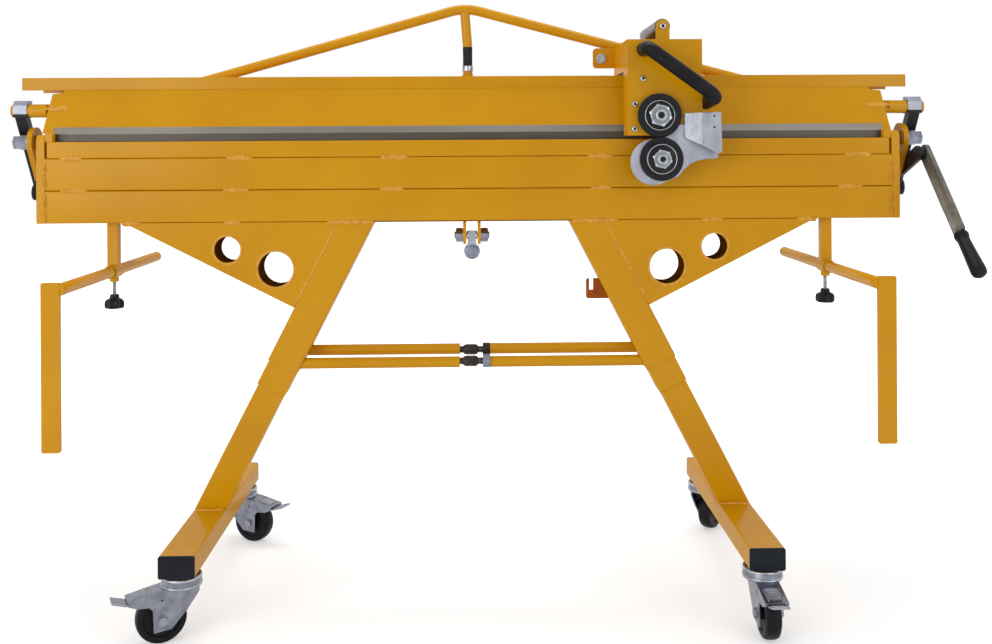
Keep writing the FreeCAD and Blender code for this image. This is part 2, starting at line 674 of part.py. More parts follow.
def clamp_link():
    """Right inclined link: sloped head on the stub pin, bar, and a wide eye below."""
    dy = EYE_Y - STUB_Y
    dz = EYE_Z - STUB_Z
    length = math.hypot(dy, dz)
    start = (STUB_Y + dy / length * 6.0, STUB_Z + dz / length * 6.0)
    bar = flat_arm(start, (EYE_Y, EYE_Z), LINK_DEPTH, LINK_X0, LINK_X1)
    y = STUB_Y
    z = STUB_Z
    head = prism_x([(y - 17.0, z - 17.0), (y - 17.0, z + 13.0), (y - 7.0, z + 25.0),
                    (y + 17.0, z + 25.0), (y + 17.0, z - 17.0)], HEAD_X0, LINK_X1)
    boss = rod((LINK_X0, EYE_Y, EYE_Z), (LINK_X1, EYE_Y, EYE_Z), 22.0)
    shape = fuse([bar, head, boss])
    shape = shape.cut(rod((HEAD_X0 - 1, STUB_Y, STUB_Z), (LINK_X1 + 1, STUB_Y, STUB_Z), 10.06))
    return shape.cut(rod((LINK_X0 - 1, EYE_Y, EYE_Z), (LINK_X1 + 1, EYE_Y, EYE_Z), EYE_HOLE_R))


# Clamp beam pieces
ADJUSTER_LOW = RAIL_Z1 + 21.0
ADJUSTER_TOP = ADJUSTER_LOW + 64.0


def web_near_y(z):
    """Y of the leaning web's near face at a height."""
    return BLADE_Y0 + (z - 24.0) * WEB_LEAN


def web_slab(x0, x1):
    """The leaning slab that the web is cut from."""
    deep = WEB_THICK / math.cos(math.radians(WEB_TILT))
    low = 22.0
    return prism_x([(web_near_y(low), low), (web_near_y(low) + deep, low),
                    (web_near_y(RAIL_Z0) + deep, RAIL_Z0), (web_near_y(RAIL_Z0), RAIL_Z0)], x0, x1)


def clamp_web():
    """Leaning plate with tapered ends and a notch under each rail tab."""
    wide = WEB_HALF
    outline = [(-wide, 22.0), (wide, 22.0), (wide - 12.0, 121.0), (wide - 40.0, 124.0),
               (wide - 40.0, RAIL_Z0), (-wide + 40.0, RAIL_Z0), (-wide + 40.0, 124.0),
               (-wide + 12.0, 121.0)]
    return shifted(web_slab(-wide, wide).common(prism_y(outline, -50.0, 200.0)), WEB_X)


def clamp_blade():
    """Pressing bar with a bevelled far face that ends on the bending line."""
    wide = BED_HALF - 6.0
    top = BLADE_HEIGHT - 0.2
    low = CLAMP_GAP
    bar = prism_x([(BLADE_Y0, low), (BLADE_TIP_Y, low), (BLADE_TIP_Y - (top - low), top),
                   (BLADE_Y0, top)], -wide, wide)
    return bar.cut(web_slab(-wide - 50.0, wide + 50.0)).Solids[0]


def top_rail():
    """Folded rail: flat top with a lip along each long edge."""
    half = RAIL_HALF
    top = box(-half, half, RAIL_Y0, RAIL_Y1, RAIL_Z1 - 6.0, RAIL_Z1)
    near = box(-half, half, RAIL_Y0, RAIL_Y0 + 8.5, RAIL_Z0, RAIL_Z1)
    far = box(-half, half, RAIL_Y1 - 6.0, RAIL_Y1, RAIL_Z0, RAIL_Z1)
    shape = fuse([top, near, far])
    shape = turned(shape, (0, 0, 1), 5.0, lambda p: abs(p.x) > half - 1.0
                   and (p.y < RAIL_Y0 + 1.0 or p.y > RAIL_Y1 - 1.0))
    return shifted(shape, CLAMP_X)


def clamp_stub():
    """Right stub tube behind the web with the pin and washer that carry the link."""
    tube = rod((BED_HALF - 40.0, STUB_Y, STUB_Z), (HEAD_X0 - 0.5, STUB_Y, STUB_Z), STUB_R)
    tube = tube.cut(web_slab(0.0, WEB_HALF - WEB_X))
    tube = sorted(tube.Solids, key=lambda s: s.Volume)[-1]
    pin = rod((HEAD_X0 - 5.0, STUB_Y, STUB_Z), (OUTER_X, STUB_Y, STUB_Z), 10.0)
    washer = rod((LINK_X1 + 0.4, STUB_Y, STUB_Z), (OUTER_X, STUB_Y, STUB_Z), 15.0)
    return fuse([tube, pin, washer])


def truss_tube():
    """Bent stiffening tube on the rail, its centre strut and the strut's flared foot."""
    rise = TRUSS_TOP - RAIL_Z1
    past = 120.0
    ends = []
    for end in (TRUSS_MIDDLE - TRUSS_HALF, TRUSS_MIDDLE + TRUSS_HALF):
        run = end - TRUSS_APEX
        share = 1.0 + past / abs(run)
        ends.append((TRUSS_APEX + run * share, TRUSS_Y, TRUSS_TOP - rise * share))
    tube = sweep([ends[0], (TRUSS_APEX, TRUSS_Y, TRUSS_TOP), ends[1]], TRUSS_R, 150.0)
    tube = tube.common(box(-BED_HALF, BED_HALF, 0.0, 300.0, RAIL_Z1, TRUSS_TOP + 50.0))
    low = ADJUSTER_TOP - 15.0
    high = TRUSS_TOP - 12.0
    lean = (CLAMP_X - TRUSS_APEX) / (high - ADJUSTER_TOP)
    strut = rod((CLAMP_X + lean * 15.0, TRUSS_Y, low), (TRUSS_APEX, TRUSS_Y, high), 12.5)
    strut = strut.common(box(-100.0, 100.0, 0.0, 300.0, ADJUSTER_TOP, TRUSS_TOP))
    foot = Part.makeCone(17.0, 12.5, 16.0, Vector(CLAMP_X, TRUSS_Y, RAIL_Z1), Vector(0, 0, 1))
    stem = rod((CLAMP_X, TRUSS_Y, RAIL_Z1 + 16.0), (CLAMP_X, TRUSS_Y, ADJUSTER_LOW), 12.5)
    foot = fuse([foot, stem]).common(box(-50.0, 50.0, 0.0, RAIL_Y1, 0.0, 400.0))
    return Part.makeCompound([fuse([tube, strut]), foot])


def truss_adjuster():
    """Bright ring, black sleeve and six-sided nut on the strut."""
    low = ADJUSTER_LOW
    ring = rod((CLAMP_X, TRUSS_Y, low), (CLAMP_X, TRUSS_Y, low + 14.0), 13.5)
    sleeve = rod((CLAMP_X, TRUSS_Y, low + 14.0), (CLAMP_X, TRUSS_Y, ADJUSTER_TOP - 19.0), 12.5)
    nut = hexagon((CLAMP_X, TRUSS_Y, ADJUSTER_TOP - 19.0), (0, 0, 1), ADJUSTER_FLATS, 19.0)
    return fuse([ring, sleeve, nut])


# Leaf pieces
LEAF_Y0 = BED_DEPTH + 0.3
LEAF_BAR_Y1 = BED_DEPTH + 40.0
LEAF_BEAM_Y0 = END_DEPTH + 1.0
LEAF_BEAM_Y1 = LEAF_BEAM_Y0 + 30.0


def leaf_bar():
    """Bending bar along the bending line with the plate that hangs from it."""
    half = BED_HALF
    bar = box(-half, half, LEAF_Y0, LEAF_BAR_Y1, -38.0, 0.0)
    plate = box(-half, half, LEAF_BEAM_Y0 - 8.0, LEAF_BEAM_Y0, -90.0, -38.0)
    return fuse([bar, plate])


def leaf_beam():
    """Rectangular tube that stiffens the leaf and reaches the end lugs."""
    outer = box(-LUG_X0, LUG_X0, LEAF_BEAM_Y0, LEAF_BEAM_Y1, -90.0, -38.0)
    outer = turned(outer, (1, 0, 0), 4.0, lambda p: p.y > LEAF_BEAM_Y1 - 1.0)
    hollow = box(-LUG_X0, LUG_X0, LEAF_BEAM_Y0 + 3.0, LEAF_BEAM_Y1 - 3.0, -87.0, -41.0)
    return outer.cut(hollow)


def leaf_lug():
    """Right lug: round head on the stud, flaring down to the beam end."""
    head = rod((LUG_X0, PIVOT_Y, 0), (LUG_X1, PIVOT_Y, 0), LUG_R)
    y = PIVOT_Y
    foot = prism_x([(y - 31.0, -22.0), (y + 15.0, -96.0), (y + 62.0, -96.0), (y + 62.0, -44.0),
                    (y + 30.0, 23.0), (y, 10.0)], LUG_X0, LUG_X1)
    bore = rod((LUG_X0 - 1, PIVOT_Y, 0), (LUG_X1 + 1, PIVOT_Y, 0), PIVOT_R + 0.06)
    return fuse([head, foot]).cut(bore)


def leaf_handle(x):
    """A bow handle on the far face of the beam."""
    y = PIVOT_Y + 92.0
    z = -72.0
    path = [(x - 130.0, LEAF_BEAM_Y1, z), (x - 130.0, y, z), (x + 130.0, y, z),
            (x + 130.0, LEAF_BEAM_Y1, z)]
    return sweep(path, 9.0, 16.0)


# Cutter pieces
CUT_X0 = CUTTER_X - CUTTER_LEFT
CUT_X1 = CUTTER_X + CUTTER_RIGHT
STEP_Z = 167.0
CUT_BACK = TRUSS_Y - ADJUSTER_FLATS / math.sqrt(3.0) - 2.2


def cutter_housing():
    """Open housing: front plate, stepped side plates, two cross plates and roller ears."""
    y0 = CUTTER_Y
    front = box(CUT_X0, CUT_X1, y0, y0 + 5.0, CUTTER_Z0, CUTTER_Z1)
    pieces = [front]
    outline = [(y0, CUTTER_Z0), (8.0, CUTTER_Z0), (8.0, STEP_Z), (CUT_BACK, STEP_Z),
               (CUT_BACK, CUTTER_Z1), (y0, CUTTER_Z1)]
    pieces.append(prism_x(outline, CUT_X0, CUT_X0 + 5.0))
    pieces.append(prism_x(outline, CUT_X1 - 5.0, CUT_X1))
    pieces.append(box(CUT_X0, CUT_X1, CUT_BACK - 5.0, CUT_BACK, STEP_Z, CUTTER_Z1))
    pieces.append(box(CUT_X0, CUT_X1, 55.0, 60.0, STEP_Z, 220.0))
    pieces.append(box(CUT_X0, CUT_X1, 3.0, 8.0, CUTTER_Z0, 60.0))
    x = CUTTER_X - 2.5
    for y in (y0, CUT_BACK - 5.0):
        pieces.append(box(x - 16.5, x + 16.5, y, y + 5.0, CUTTER_Z1 - 10.0, 272.5))
        pieces.append(rod((x, y, 272.5), (x, y + 5.0, 272.5), 16.5))
    low = box(CUT_X0 - 57.0, CUT_X0, CUT_BACK - 5.0, CUT_BACK, 188.0, CUTTER_Z1)
    low = turned(low, (0, 1, 0), 10.0, lambda p: p.x < CUT_X0 - 56.0)
    hole = rod((CUT_X0 - 35.0, 100.0, 213.6), (CUT_X0 - 35.0, 200.0, 213.6), 6.5)
    pieces.append(low.cut(hole))
    return fuse(pieces)


def cutter_roller():
    """Top roller bar between the ears, the bracket bolt and the slide pads on the rail."""
    x = CUTTER_X - 2.5
    bar = rod((x, CUTTER_Y + 5.0, 272.5), (x, CUT_BACK - 5.0, 272.5), 19.0)
    solids = [bar]
    y = CUT_BACK - 5.0
    bolt = fuse([rod((CUT_X0 - 35.0, y, 213.6), (CUT_X0 - 35.0, CUT_BACK, 213.6), 6.5),
                 hexagon((CUT_X0 - 35.0, y, 213.6), (0, -1, 0), 19.0, 8.0)])
    solids.append(bolt)
    for px in (CUT_X0 + 5.0, CUT_X1 - 25.0):
        solids.append(box(px, px + 20.0, 60.0, 92.0, RAIL_Z1 + 0.3, STEP_Z + 12.0))
        solids.append(box(px, px + 20.0, 150.0, CUT_BACK - 5.0, RAIL_Z1 + 0.3, STEP_Z + 12.0))
        solids.append(box(px, px + 20.0, 8.0, web_near_y(40.0) - 0.4, 40.0, 58.0))
    return Part.makeCompound(solids)


def cutter_handle():
    """Bent tube handle from the housing's front to its right side plate."""
    y = CUTTER_Y
    left = CUTTER_X - 49.5
    path = [(left, y + 5.0, 216.0), (left, y - 66.0, 216.0), (CUT_X1 + 19.5, y - 66.0, 98.0),
            (CUT_X1 + 15.0, y + 30.0, 88.0)]
    tube = sweep(path, 17.0, 22.0)
    front = tube.common(box(CUT_X0 - 50.0, CUT_X1 + 90.0, y - 120.0, y, 0.0, 300.0))
    beside = tube.common(box(CUT_X1, CUT_X1 + 90.0, y - 20.0, y + 40.0, 0.0, 300.0))
    return fuse([front, beside])


def guard_outline():
    """The guard's outline in X and Z, relative to the carriage middle."""
    points = []
    cx = -28.0
    cz = -57.0
    for step in range(0, 15):
        angle = math.radians(80.0 + step * 16.0)
        points.append((cx + 56.0 * math.cos(angle), cz + 56.0 * math.sin(angle)))
    points += [(32.0, -92.0), (48.0, -74.0), (63.0, -61.0), (80.0, -53.5), (100.0, -50.0),
               (128.0, -49.0), (131.0, -34.0), (110.0, -20.0), (60.0, 34.0), (-10.0, 34.0)]
    return [(CUTTER_X + x, z) for x, z in points]


def cutter_guard():
    """Bright guard plate behind the lower disc with its arm to the right."""
    y = CUTTER_Y
    plate = prism_y(guard_outline(), y - 5.0, y)
    x = CUTTER_X - 8.5
    z = LOWER_DISC_Z
    boss = rod((x, y - 5.0, z), (x, y - 9.0, z), 16.0)
    pin = rod((x, y - 9.0, z), (x, y - 20.0, z), 8.0)
    return fuse([plate, boss, pin])


def cutter_deflector():
    """Bright sheet bent once, with two small holes in its flat side."""
    shift = CUTTER_X
    front = CUTTER_Y - 27.0
    bend = shift + 86.0
    flat = prism_y([(bend, 62.0), (shift + 132.0, 63.0), (shift + 134.5, -33.0),
                    (shift + 123.0, -37.0), (bend, -16.0)], front, front + 3.0)
    wing = prism_z([(shift + 48.0, CUTTER_Y - 8.0), (shift + 48.0, CUTTER_Y - 5.0),
                    (bend, front + 3.0), (bend, front)], -40.0, 70.0)
    trim = prism_y([(shift + 40.0, 60.5), (bend + 1.0, 62.0), (bend + 1.0, -16.6),
                    (shift + 56.5, -2.0), (shift + 40.0, 8.0)], -200.0, 0.0)
    wing = wing.common(trim)
    seat = box(shift + 48.0, shift + 56.0, CUTTER_Y - 6.0, CUTTER_Y, 37.0, 60.0)
    shape = fuse([flat, wing, seat])
    for z in (53.6, 26.4):
        x = shift + 116.0
        shape = shape.cut(rod((x, front - 5.0, z), (x, front + 10.0, z), 2.6))
    return shape


def upper_cutter_disc():
    """Upper disc with raised ring, nut and round boss, on its own stub shaft."""
    x = CUTTER_X - 13.5
    z = UPPER_DISC_Z
    y = CUTTER_Y - 12.0
    disc = rod((x, y - 6.0, z), (x, y, z), DISC_R)
    edges = [e for e in disc.Edges if isinstance(e.Curve, Part.Circle) and e.Vertexes[0].Point.y < y - 3]
    disc = disc.makeChamfer(3.0, edges)
    ring = rod((x, y - 9.0, z), (x, y - 6.0, z), 35.0)
    nut = hexagon((x, y - 9.0, z), (0, -1, 0), 49.0, 13.0)
    boss = rod((x, y - 28.0, z), (x, y - 22.0, z), 14.0)
    back = rod((x, y, z), (x, CUTTER_Y - 0.3, z), 20.0)
    socket = hexagon((x, y - 20.0, z), (0, -1, 0), 14.0, 12.0)
    return fuse([disc, ring, nut, boss, back]).cut(socket)


def lower_cutter_disc():
    """Lower disc with its nut, running on the guard's pin."""
    x = CUTTER_X - 8.5
    z = LOWER_DISC_Z
    y = CUTTER_Y - 9.3
    disc = rod((x, y - 2.2, z), (x, y, z), DISC_R)
    hub = rod((x, y - 8.0, z), (x, y - 2.2, z), 28.0)
    nut = hexagon((x, y - 8.0, z), (0, -1, 0), 42.0, 12.0)
    bore = rod((x, y + 1.0, z), (x, CUTTER_Y - 20.3, z), 8.06)
    return fuse([disc, hub, nut]).cut(bore)


# Write every piece
save("bed_top_bar", bed_top_bar())
save("bed_upper_tube", square_tube(-END_IN, END_IN, -BAR_HEIGHT - TUBE_HEIGHT, -BAR_HEIGHT))
save("bed_lower_tube", square_tube(-END_IN, END_IN, BED_BOTTOM, -BAR_HEIGHT - TUBE_HEIGHT))
save("end_plates", pair(end_plate()))
save("gussets", pair(gusset()))
save("leg_sockets", pair(leg_piece(LEG_SIZE, 74.0, -60.0, SOCKET_END, 5.0)))
save("leg_sleeves", pair(leg_piece(74.0, 68.0, SOCKET_END - 90.0, SLEEVE_END, 0.0)))
save("leg_tubes", pair(leg_piece(68.0, 60.0, SOCKET_END - 60.0, LEG_LENGTH + 60.0, 0.0)))
save("foot_bars", pair(foot_bar()))
save("foot_end_caps", Part.makeCompound([pair(foot_cap(True)), pair(foot_cap(False))]))
save("tie_rods", tie_rods())
save("tie_rod_screws", tie_rod_screws())
save("pivot_studs", pair(pivot_stud()))
HANGER_X = (BED_HALF * 0.95, BED_HALF * 0.12)
save("shaft_hangers", Part.makeCompound([pair(hanger(x)) for x in HANGER_X]))
save("gauge_posts", pair(gauge_post()))
save("centre_clevis", centre_clevis())
save("leg_hook", leg_hook())
save("hanging_eye", hanging_eye())
save("caster_plates", Part.makeCompound([at_caster(caster_plate(), key) for key in CASTER_ANGLES]))
for key in CASTER_ANGLES:
    save("caster_fork_" + key, at_caster(caster_fork(), key))
    save("caster_wheel_" + key, at_caster(caster_wheel(), key))
    save("caster_pedal_" + key, at_caster(caster_pedal(), key))

save("clamp_shaft", rod((-ROOT_X0, SHAFT_Y, SHAFT_Z), (ROOT_X0, SHAFT_Y, SHAFT_Z), SHAFT_R))
save("crank_left", mirrored(crank_plate()))
save("lever_root", lever_root())
save("lever_arm", lever_arm())
save("lever_grip", lever_grip())
save("clamp_link_right", clamp_link())
save("clamp_link_left", mirrored(clamp_link()))

save("clamp_blade", clamp_blade())
save("clamp_web", clamp_web())
save("top_rail", top_rail())
save("clamp_stubs", pair(clamp_stub()))
save("truss_tube", truss_tube())
save("truss_adjuster", truss_adjuster())

save("leaf_bar", leaf_bar())
save("leaf_beam", leaf_beam())
save("leaf_lugs", pair(leaf_lug()))
save("leaf_handles", pair(leaf_handle(BED_HALF * 0.48)))

save("cutter_housing", cutter_housing())
save("cutter_roller", cutter_roller())
save("cutter_handle", cutter_handle())
save("cutter_guard", cutter_guard())
save("cutter_deflector", cutter_deflector())
save("upper_cutter_disc", upper_cutter_disc())
save("lower_cutter_disc", lower_cutter_disc())

save("gauge_arm_right", gauge_arm())
save("gauge_arm_left", mirrored(gauge_arm()))
save("gauge_knob_right", gauge_knob())
save("gauge_knob_left", mirrored(gauge_knob()))
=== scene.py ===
"""Looks of a wheeled roofing sheet bender: enamelled frame, zinc hardware, black cutter discs."""

import json
import math

import bmesh
import bpy
import numpy as np
from mathutils import Matrix, Vector

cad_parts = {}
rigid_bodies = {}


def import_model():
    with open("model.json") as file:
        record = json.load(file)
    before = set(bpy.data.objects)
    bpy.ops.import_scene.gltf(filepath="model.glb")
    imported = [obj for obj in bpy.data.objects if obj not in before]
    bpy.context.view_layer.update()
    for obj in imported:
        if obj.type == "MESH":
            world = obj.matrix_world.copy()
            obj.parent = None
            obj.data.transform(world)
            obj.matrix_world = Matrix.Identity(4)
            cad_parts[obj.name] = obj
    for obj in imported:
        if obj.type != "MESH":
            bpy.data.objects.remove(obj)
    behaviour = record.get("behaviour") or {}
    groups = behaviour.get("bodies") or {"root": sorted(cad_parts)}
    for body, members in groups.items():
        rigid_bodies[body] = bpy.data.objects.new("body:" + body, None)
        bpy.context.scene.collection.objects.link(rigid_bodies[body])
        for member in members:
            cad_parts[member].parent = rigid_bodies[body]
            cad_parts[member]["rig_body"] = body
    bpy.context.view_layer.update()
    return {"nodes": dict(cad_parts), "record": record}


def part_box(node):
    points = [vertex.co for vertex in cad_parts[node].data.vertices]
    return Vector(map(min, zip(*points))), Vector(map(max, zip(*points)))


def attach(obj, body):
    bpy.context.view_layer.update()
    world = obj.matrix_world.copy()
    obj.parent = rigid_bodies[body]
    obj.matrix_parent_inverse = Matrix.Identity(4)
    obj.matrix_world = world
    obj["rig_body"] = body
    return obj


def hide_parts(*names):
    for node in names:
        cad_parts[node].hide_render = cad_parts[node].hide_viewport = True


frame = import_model()

MM = 0.001
METRE = 1000.0
SIDES = ("left", "right")
MIRRORED = (-1.0, 1.0)
CORNERS = ("fl", "fr", "bl", "br")
ALONG = (1.0, 0.0, 0.0)
UP = (0.0, 0.0, 1.0)
OUT = (0.0, -1.0, 0.0)
BACK = (0.0, 1.0, 0.0)

# The bed frame of the part: zero is the near top edge of the bed bar at mid length
BED_LOW, BED_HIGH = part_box("bed_top_bar")
BED_ZERO = np.array([0.0, BED_LOW[1], BED_HIGH[2]])


def bed_place(points):
    """Bed frame millimetres to scene metres, for a whole array of points."""
    return np.asarray(points, dtype=float) * MM + BED_ZERO


def bed_box(node):
    """Low and high corner of a node's box, in millimetres of the bed frame."""
    return [(np.array(corner) - BED_ZERO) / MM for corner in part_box(node)]


def shown(name, data, material=None):
    """Puts data into the scene as an object, and gives a mesh its material."""
    obj = bpy.data.objects.new(name, data)
    bpy.context.scene.collection.objects.link(obj)
    if material:
        data.materials.append(material)
    return obj


# Colours and node trees
CLOUD_EDGES = (0.35, 0.68)
CLOUD_DETAIL = 3.0
GRAIN_EDGES = (0.3, 0.7)
GRAIN_DETAIL = 2.0
SMOOTHER = 0.06
ROUGHER = 0.08
RELIEF = 0.35


def srgb(code):
    """Turns a hex sRGB colour to the linear value that a shader socket takes."""
    values = [int(code[i:i + 2], 16) / 255.0 for i in (1, 3, 5)]
    linear = [v / 12.92 if v <= 0.04045 else ((v + 0.055) / 1.055) ** 2.4 for v in values]
    return (*linear, 1.0)


def empty_tree(holder):
    """The cleared node tree of a material or a world."""
    holder.use_nodes = True
    holder.node_tree.nodes.clear()
    return holder.node_tree


def add(tree, kind, settings=None, links=None):
    """Adds one node, sets its properties and sockets, and links its inputs."""
    node = tree.nodes.new(kind)
    for key, value in (settings or {}).items():
        if isinstance(key, str) and hasattr(node, key):
            setattr(node, key, value)
        else:
            node.inputs[key].default_value = value
    for key, source in (links or {}).items():
        tree.links.new(source, node.inputs[key])
    return node


def finish_of(name, light, dark, cloud_mm, rough, grain_mm, depth_mm, sockets,
              stretch=(1.0, 1.0, 1.0)):
    """A finish: a noise in clouds mixes two colours, and a finer one is its grain.

    The cloud noise runs from dark to light between CLOUD_EDGES. The grain noise moves the
    roughness from rough - SMOOTHER to rough + ROUGHER and gives the relief, depth_mm deep.
    """
    material = bpy.data.materials.new(name)
    tree = empty_tree(material)
    place = add(tree, "ShaderNodeTexCoord").outputs["Object"]
    mapped = add(tree, "ShaderNodeMapping", {"Scale": stretch}, {"Vector": place}).outputs[0]
    cloud = add(tree, "ShaderNodeTexNoise",
                {"Scale": METRE / cloud_mm, "Detail": CLOUD_DETAIL}, {"Vector": mapped})
    ramp = add(tree, "ShaderNodeValToRGB", None, {"Fac": cloud.outputs["Fac"]})
    for stop, edge, code in zip(ramp.color_ramp.elements, CLOUD_EDGES, (dark, light)):
        stop.position = edge
        stop.color = srgb(code)
    grain = add(tree, "ShaderNodeTexNoise",
                {"Scale": METRE / grain_mm, "Detail": GRAIN_DETAIL}, {"Vector": mapped})
    level = add(tree, "ShaderNodeMapRange",
                {"From Min": GRAIN_EDGES[0], "From Max": GRAIN_EDGES[1],
                 "To Min": rough - SMOOTHER, "To Max": rough + ROUGHER},
                {"Value": grain.outputs["Fac"]})
    relief = add(tree, "ShaderNodeBump", {"Strength": RELIEF, "Distance": depth_mm * MM},
                 {"Height": grain.outputs["Fac"]})
    shader = add(tree, "ShaderNodeBsdfPrincipled", sockets,
                 {"Base Color": ramp.outputs["Color"], "Roughness": level.outputs["Result"],
                  "Normal": relief.outputs["Normal"], "Coat Normal": relief.outputs["Normal"]})
    add(tree, "ShaderNodeOutputMaterial", None, {"Surface": shader.outputs[0]})
    return material


PAINT = {"IOR": 1.5, "Specular IOR Level": 0.0, "Coat Weight": 0.38, "Coat Roughness": 0.22}
DULL_PAINT = {"IOR": 1.48, "Specular IOR Level": 0.16}
FLAT_PAINT = {"Specular IOR Level": 0.0}
METAL = {"Metallic": 1.0}

# Two-pack enamel sprayed on steel: deep amber under a thin clear film, orange peel every 8 mm
AMBER = finish_of("amber enamel, sprayed", "#d79a08", "#cf9104", 240.0, 0.32, 8.0, 0.06, PAINT)
# The same enamel, lighter, on welds and hole rims: painted highlight, patchy every 16 mm, more
# shine
AMBER_PAINTED_HIGHLIGHT = finish_of("amber enamel, painted highlight", "#e3a52a", "#cc8c0c", 16.0, 0.26, 6.0, 0.08,
                       {"IOR": 1.5, "Specular IOR Level": 0.4})
# Painted shade on the walls of the bores: dull red-brown
BORE_PAINTED_SHADE = finish_of("painted shade in a bore", "#74430f", "#4a2b0a", 18.0, 0.6, 2.5, 0.04,
                   FLAT_PAINT)
# Brushed satin paint on the drive: blue-black, mottled by hands and grease
BLACK_PAINT = finish_of("black satin paint, brushed", "#2a2b30", "#1b1c20", 22.0, 0.4, 3.0, 0.05,
                        DULL_PAINT)
# Hot-rolled flat bar under thin grey lacquer: dull grey with a few lighter rubs
GREY_BAR = finish_of("grey lacquer on rolled bar", "#78786e", "#5f5f56", 26.0, 0.42, 4.0, 0.02,
                     {"Metallic": 0.3, "Specular IOR Level": 0.3})
# Painted shade on the small hook: its enamel darkened to dull orange-brown, brush marks every 6 mm
HOOK_PAINTED_SHADE = finish_of("orange-brown enamel, painted shade", "#ae5c12", "#924c0c", 30.0, 0.42, 6.0, 0.1,
                  DULL_PAINT)
# Bright zinc plate on turned and pressed steel: pale blue-grey, cloudy every 12 mm
ZINC = finish_of("bright zinc plate", "#b9bdc4", "#979ba3", 12.0, 0.26, 6.0, 0.004, METAL)
# Zinc plate on the caster forks and the larger nuts: darker blue-grey with a soft sheen
PRESSED = finish_of("blue passivated zinc on pressed steel", "#8e919e", "#737682", 24.0, 0.3,
                    4.0, 0.02, METAL)
# Handled galvanised sheet: mid grey with a blue cast, its clouds drawn out along the height
SHEET = finish_of("handled galvanised sheet", "#9da0a9", "#8d9099", 34.0, 0.5, 6.0, 0.01, METAL,
                  (1.0, 1.0, 0.5))
# Turned steel: rings too fine to show, so a soft grey shine
TURNED = finish_of("turned steel", "#b9bbbd", "#9a9da0", 10.0, 0.28, 3.0, 0.008, METAL)
# End face of a nut: darker grey than the zinc round it, painted shade
NUT_FACE_PAINTED_SHADE = finish_of("nut face, painted shade", "#8b8e93", "#73767b", 9.0, 0.4, 3.0, 0.01, METAL)
# Drawn steel of the roller and the tie rod studs: dark with oil, its clouds drawn out in depth
OILED = finish_of("oiled drawn steel", "#6d6f72", "#4d4f52", 14.0, 0.34, 3.0, 0.01, METAL,
                  (1.0, 0.2, 1.0))
# Oxide blacked tool steel: near black, soft shine
BLACK_STEEL = finish_of("black oxide on tool steel", "#191a1e", "#0e0f12", 14.0, 0.34, 3.0, 0.02,
                        {"Metallic": 0.2, "Specular IOR Level": 0.25})
# Painted shade in a groove: dark brown, no shine
SEAM_PAINTED_SHADE = finish_of("painted shade in a seam", "#7a4c0a", "#633c08", 30.0, 0.7, 3.0, 0.02, FLAT_PAINT)
# Scale and rust preventer on the tie rod couplings: brown-black, dull
SCALE = finish_of("brown-black mill scale", "#463a33", "#241e1a", 7.0, 0.42, 3.0, 0.05,
                  {"Metallic": 0.4, "Specular IOR Level": 0.3})
# Moulded rubber: near black with a grain 1.6 mm wide, drawn that coarse so that it shows
RUBBER = finish_of("black rubber, moulded", "#16171b", "#0d0e11", 30.0, 0.46, 1.6, 0.05,
                   DULL_PAINT)
# Injection moulded polyamide: blue-black and smooth
PLASTIC = finish_of("black polyamide, moulded", "#1b2028", "#13161c", 40.0, 0.38, 1.2, 0.03,
                    DULL_PAINT)

# Heights in metres over the bed where painted shade turns to painted highlight, and the two tones
PAINTED_LIGHT_EDGES = (0.0185, 0.0205)
PAINTED_LIGHT_TONES = (0.4, 1.25)


def planed_bar():
    """Planed steel pressing bar: painted highlight along the top, painted shade below it."""
    material = finish_of("planed steel bar", "#87827a", "#6c675f", 60.0, 0.42, 3.0, 0.02,
                         {"Metallic": 0.6, "Specular IOR Level": 0.3}, (0.12, 1.0, 1.0))
    tree = material.node_tree
    shader = next(n for n in tree.nodes if n.bl_idname == "ShaderNodeBsdfPrincipled")
    ramp = next(n for n in tree.nodes if n.bl_idname == "ShaderNodeValToRGB")
    place = add(tree, "ShaderNodeTexCoord").outputs["Object"]
    height = add(tree, "ShaderNodeSeparateXYZ", None, {0: place}).outputs["Z"]
    # Painted shade below the edge heights, painted highlight above them
    band = add(tree, "ShaderNodeMapRange",
               {"From Min": BED_ZERO[2] + PAINTED_LIGHT_EDGES[0], "From Max": BED_ZERO[2] + PAINTED_LIGHT_EDGES[1],
                "To Min": PAINTED_LIGHT_TONES[0], "To Max": PAINTED_LIGHT_TONES[1]}, {"Value": height})
    both = add(tree, "ShaderNodeVectorMath", {"operation": "MULTIPLY"},
               {0: ramp.outputs["Color"], 1: band.outputs["Result"]})
    tree.links.new(both.outputs[0], shader.inputs["Base Color"])
    return material


BLADE = planed_bar()

# Looks and broken edges, in millimetres, of the part's nodes
SLOT_OF = {p["node"]: p["material_slot"] for p in frame["record"]["subparts"]}
SLOT_LOOK = {
    "yellow_enamel": AMBER, "black_paint": BLACK_PAINT, "grey_paint": GREY_BAR, "zinc": ZINC,
    # The hook's slot takes the orange-brown of painted shade
    "bare_steel": TURNED, "black_plastic": PLASTIC, "black_rubber": RUBBER, "brown_paint": HOOK_PAINTED_SHADE,
}
OWN_LOOK = {"clamp_blade": BLADE, "cutter_roller": OILED, "cutter_guard": SHEET,
            "cutter_deflector": SHEET, "pivot_studs": PRESSED}
OWN_LOOK.update({"caster_fork_" + key: PRESSED for key in CORNERS})
OWN_LOOK.update({"caster_pedal_" + key: SHEET for key in CORNERS})
USUAL_EDGE = 0.9
EDGES = {"clamp_web": 0.5, "bed_top_bar": 0.6, "cutter_housing": 1.2, "lever_arm": 1.6}
EDGES.update({"caster_fork_" + key: 0.8 for key in CORNERS})
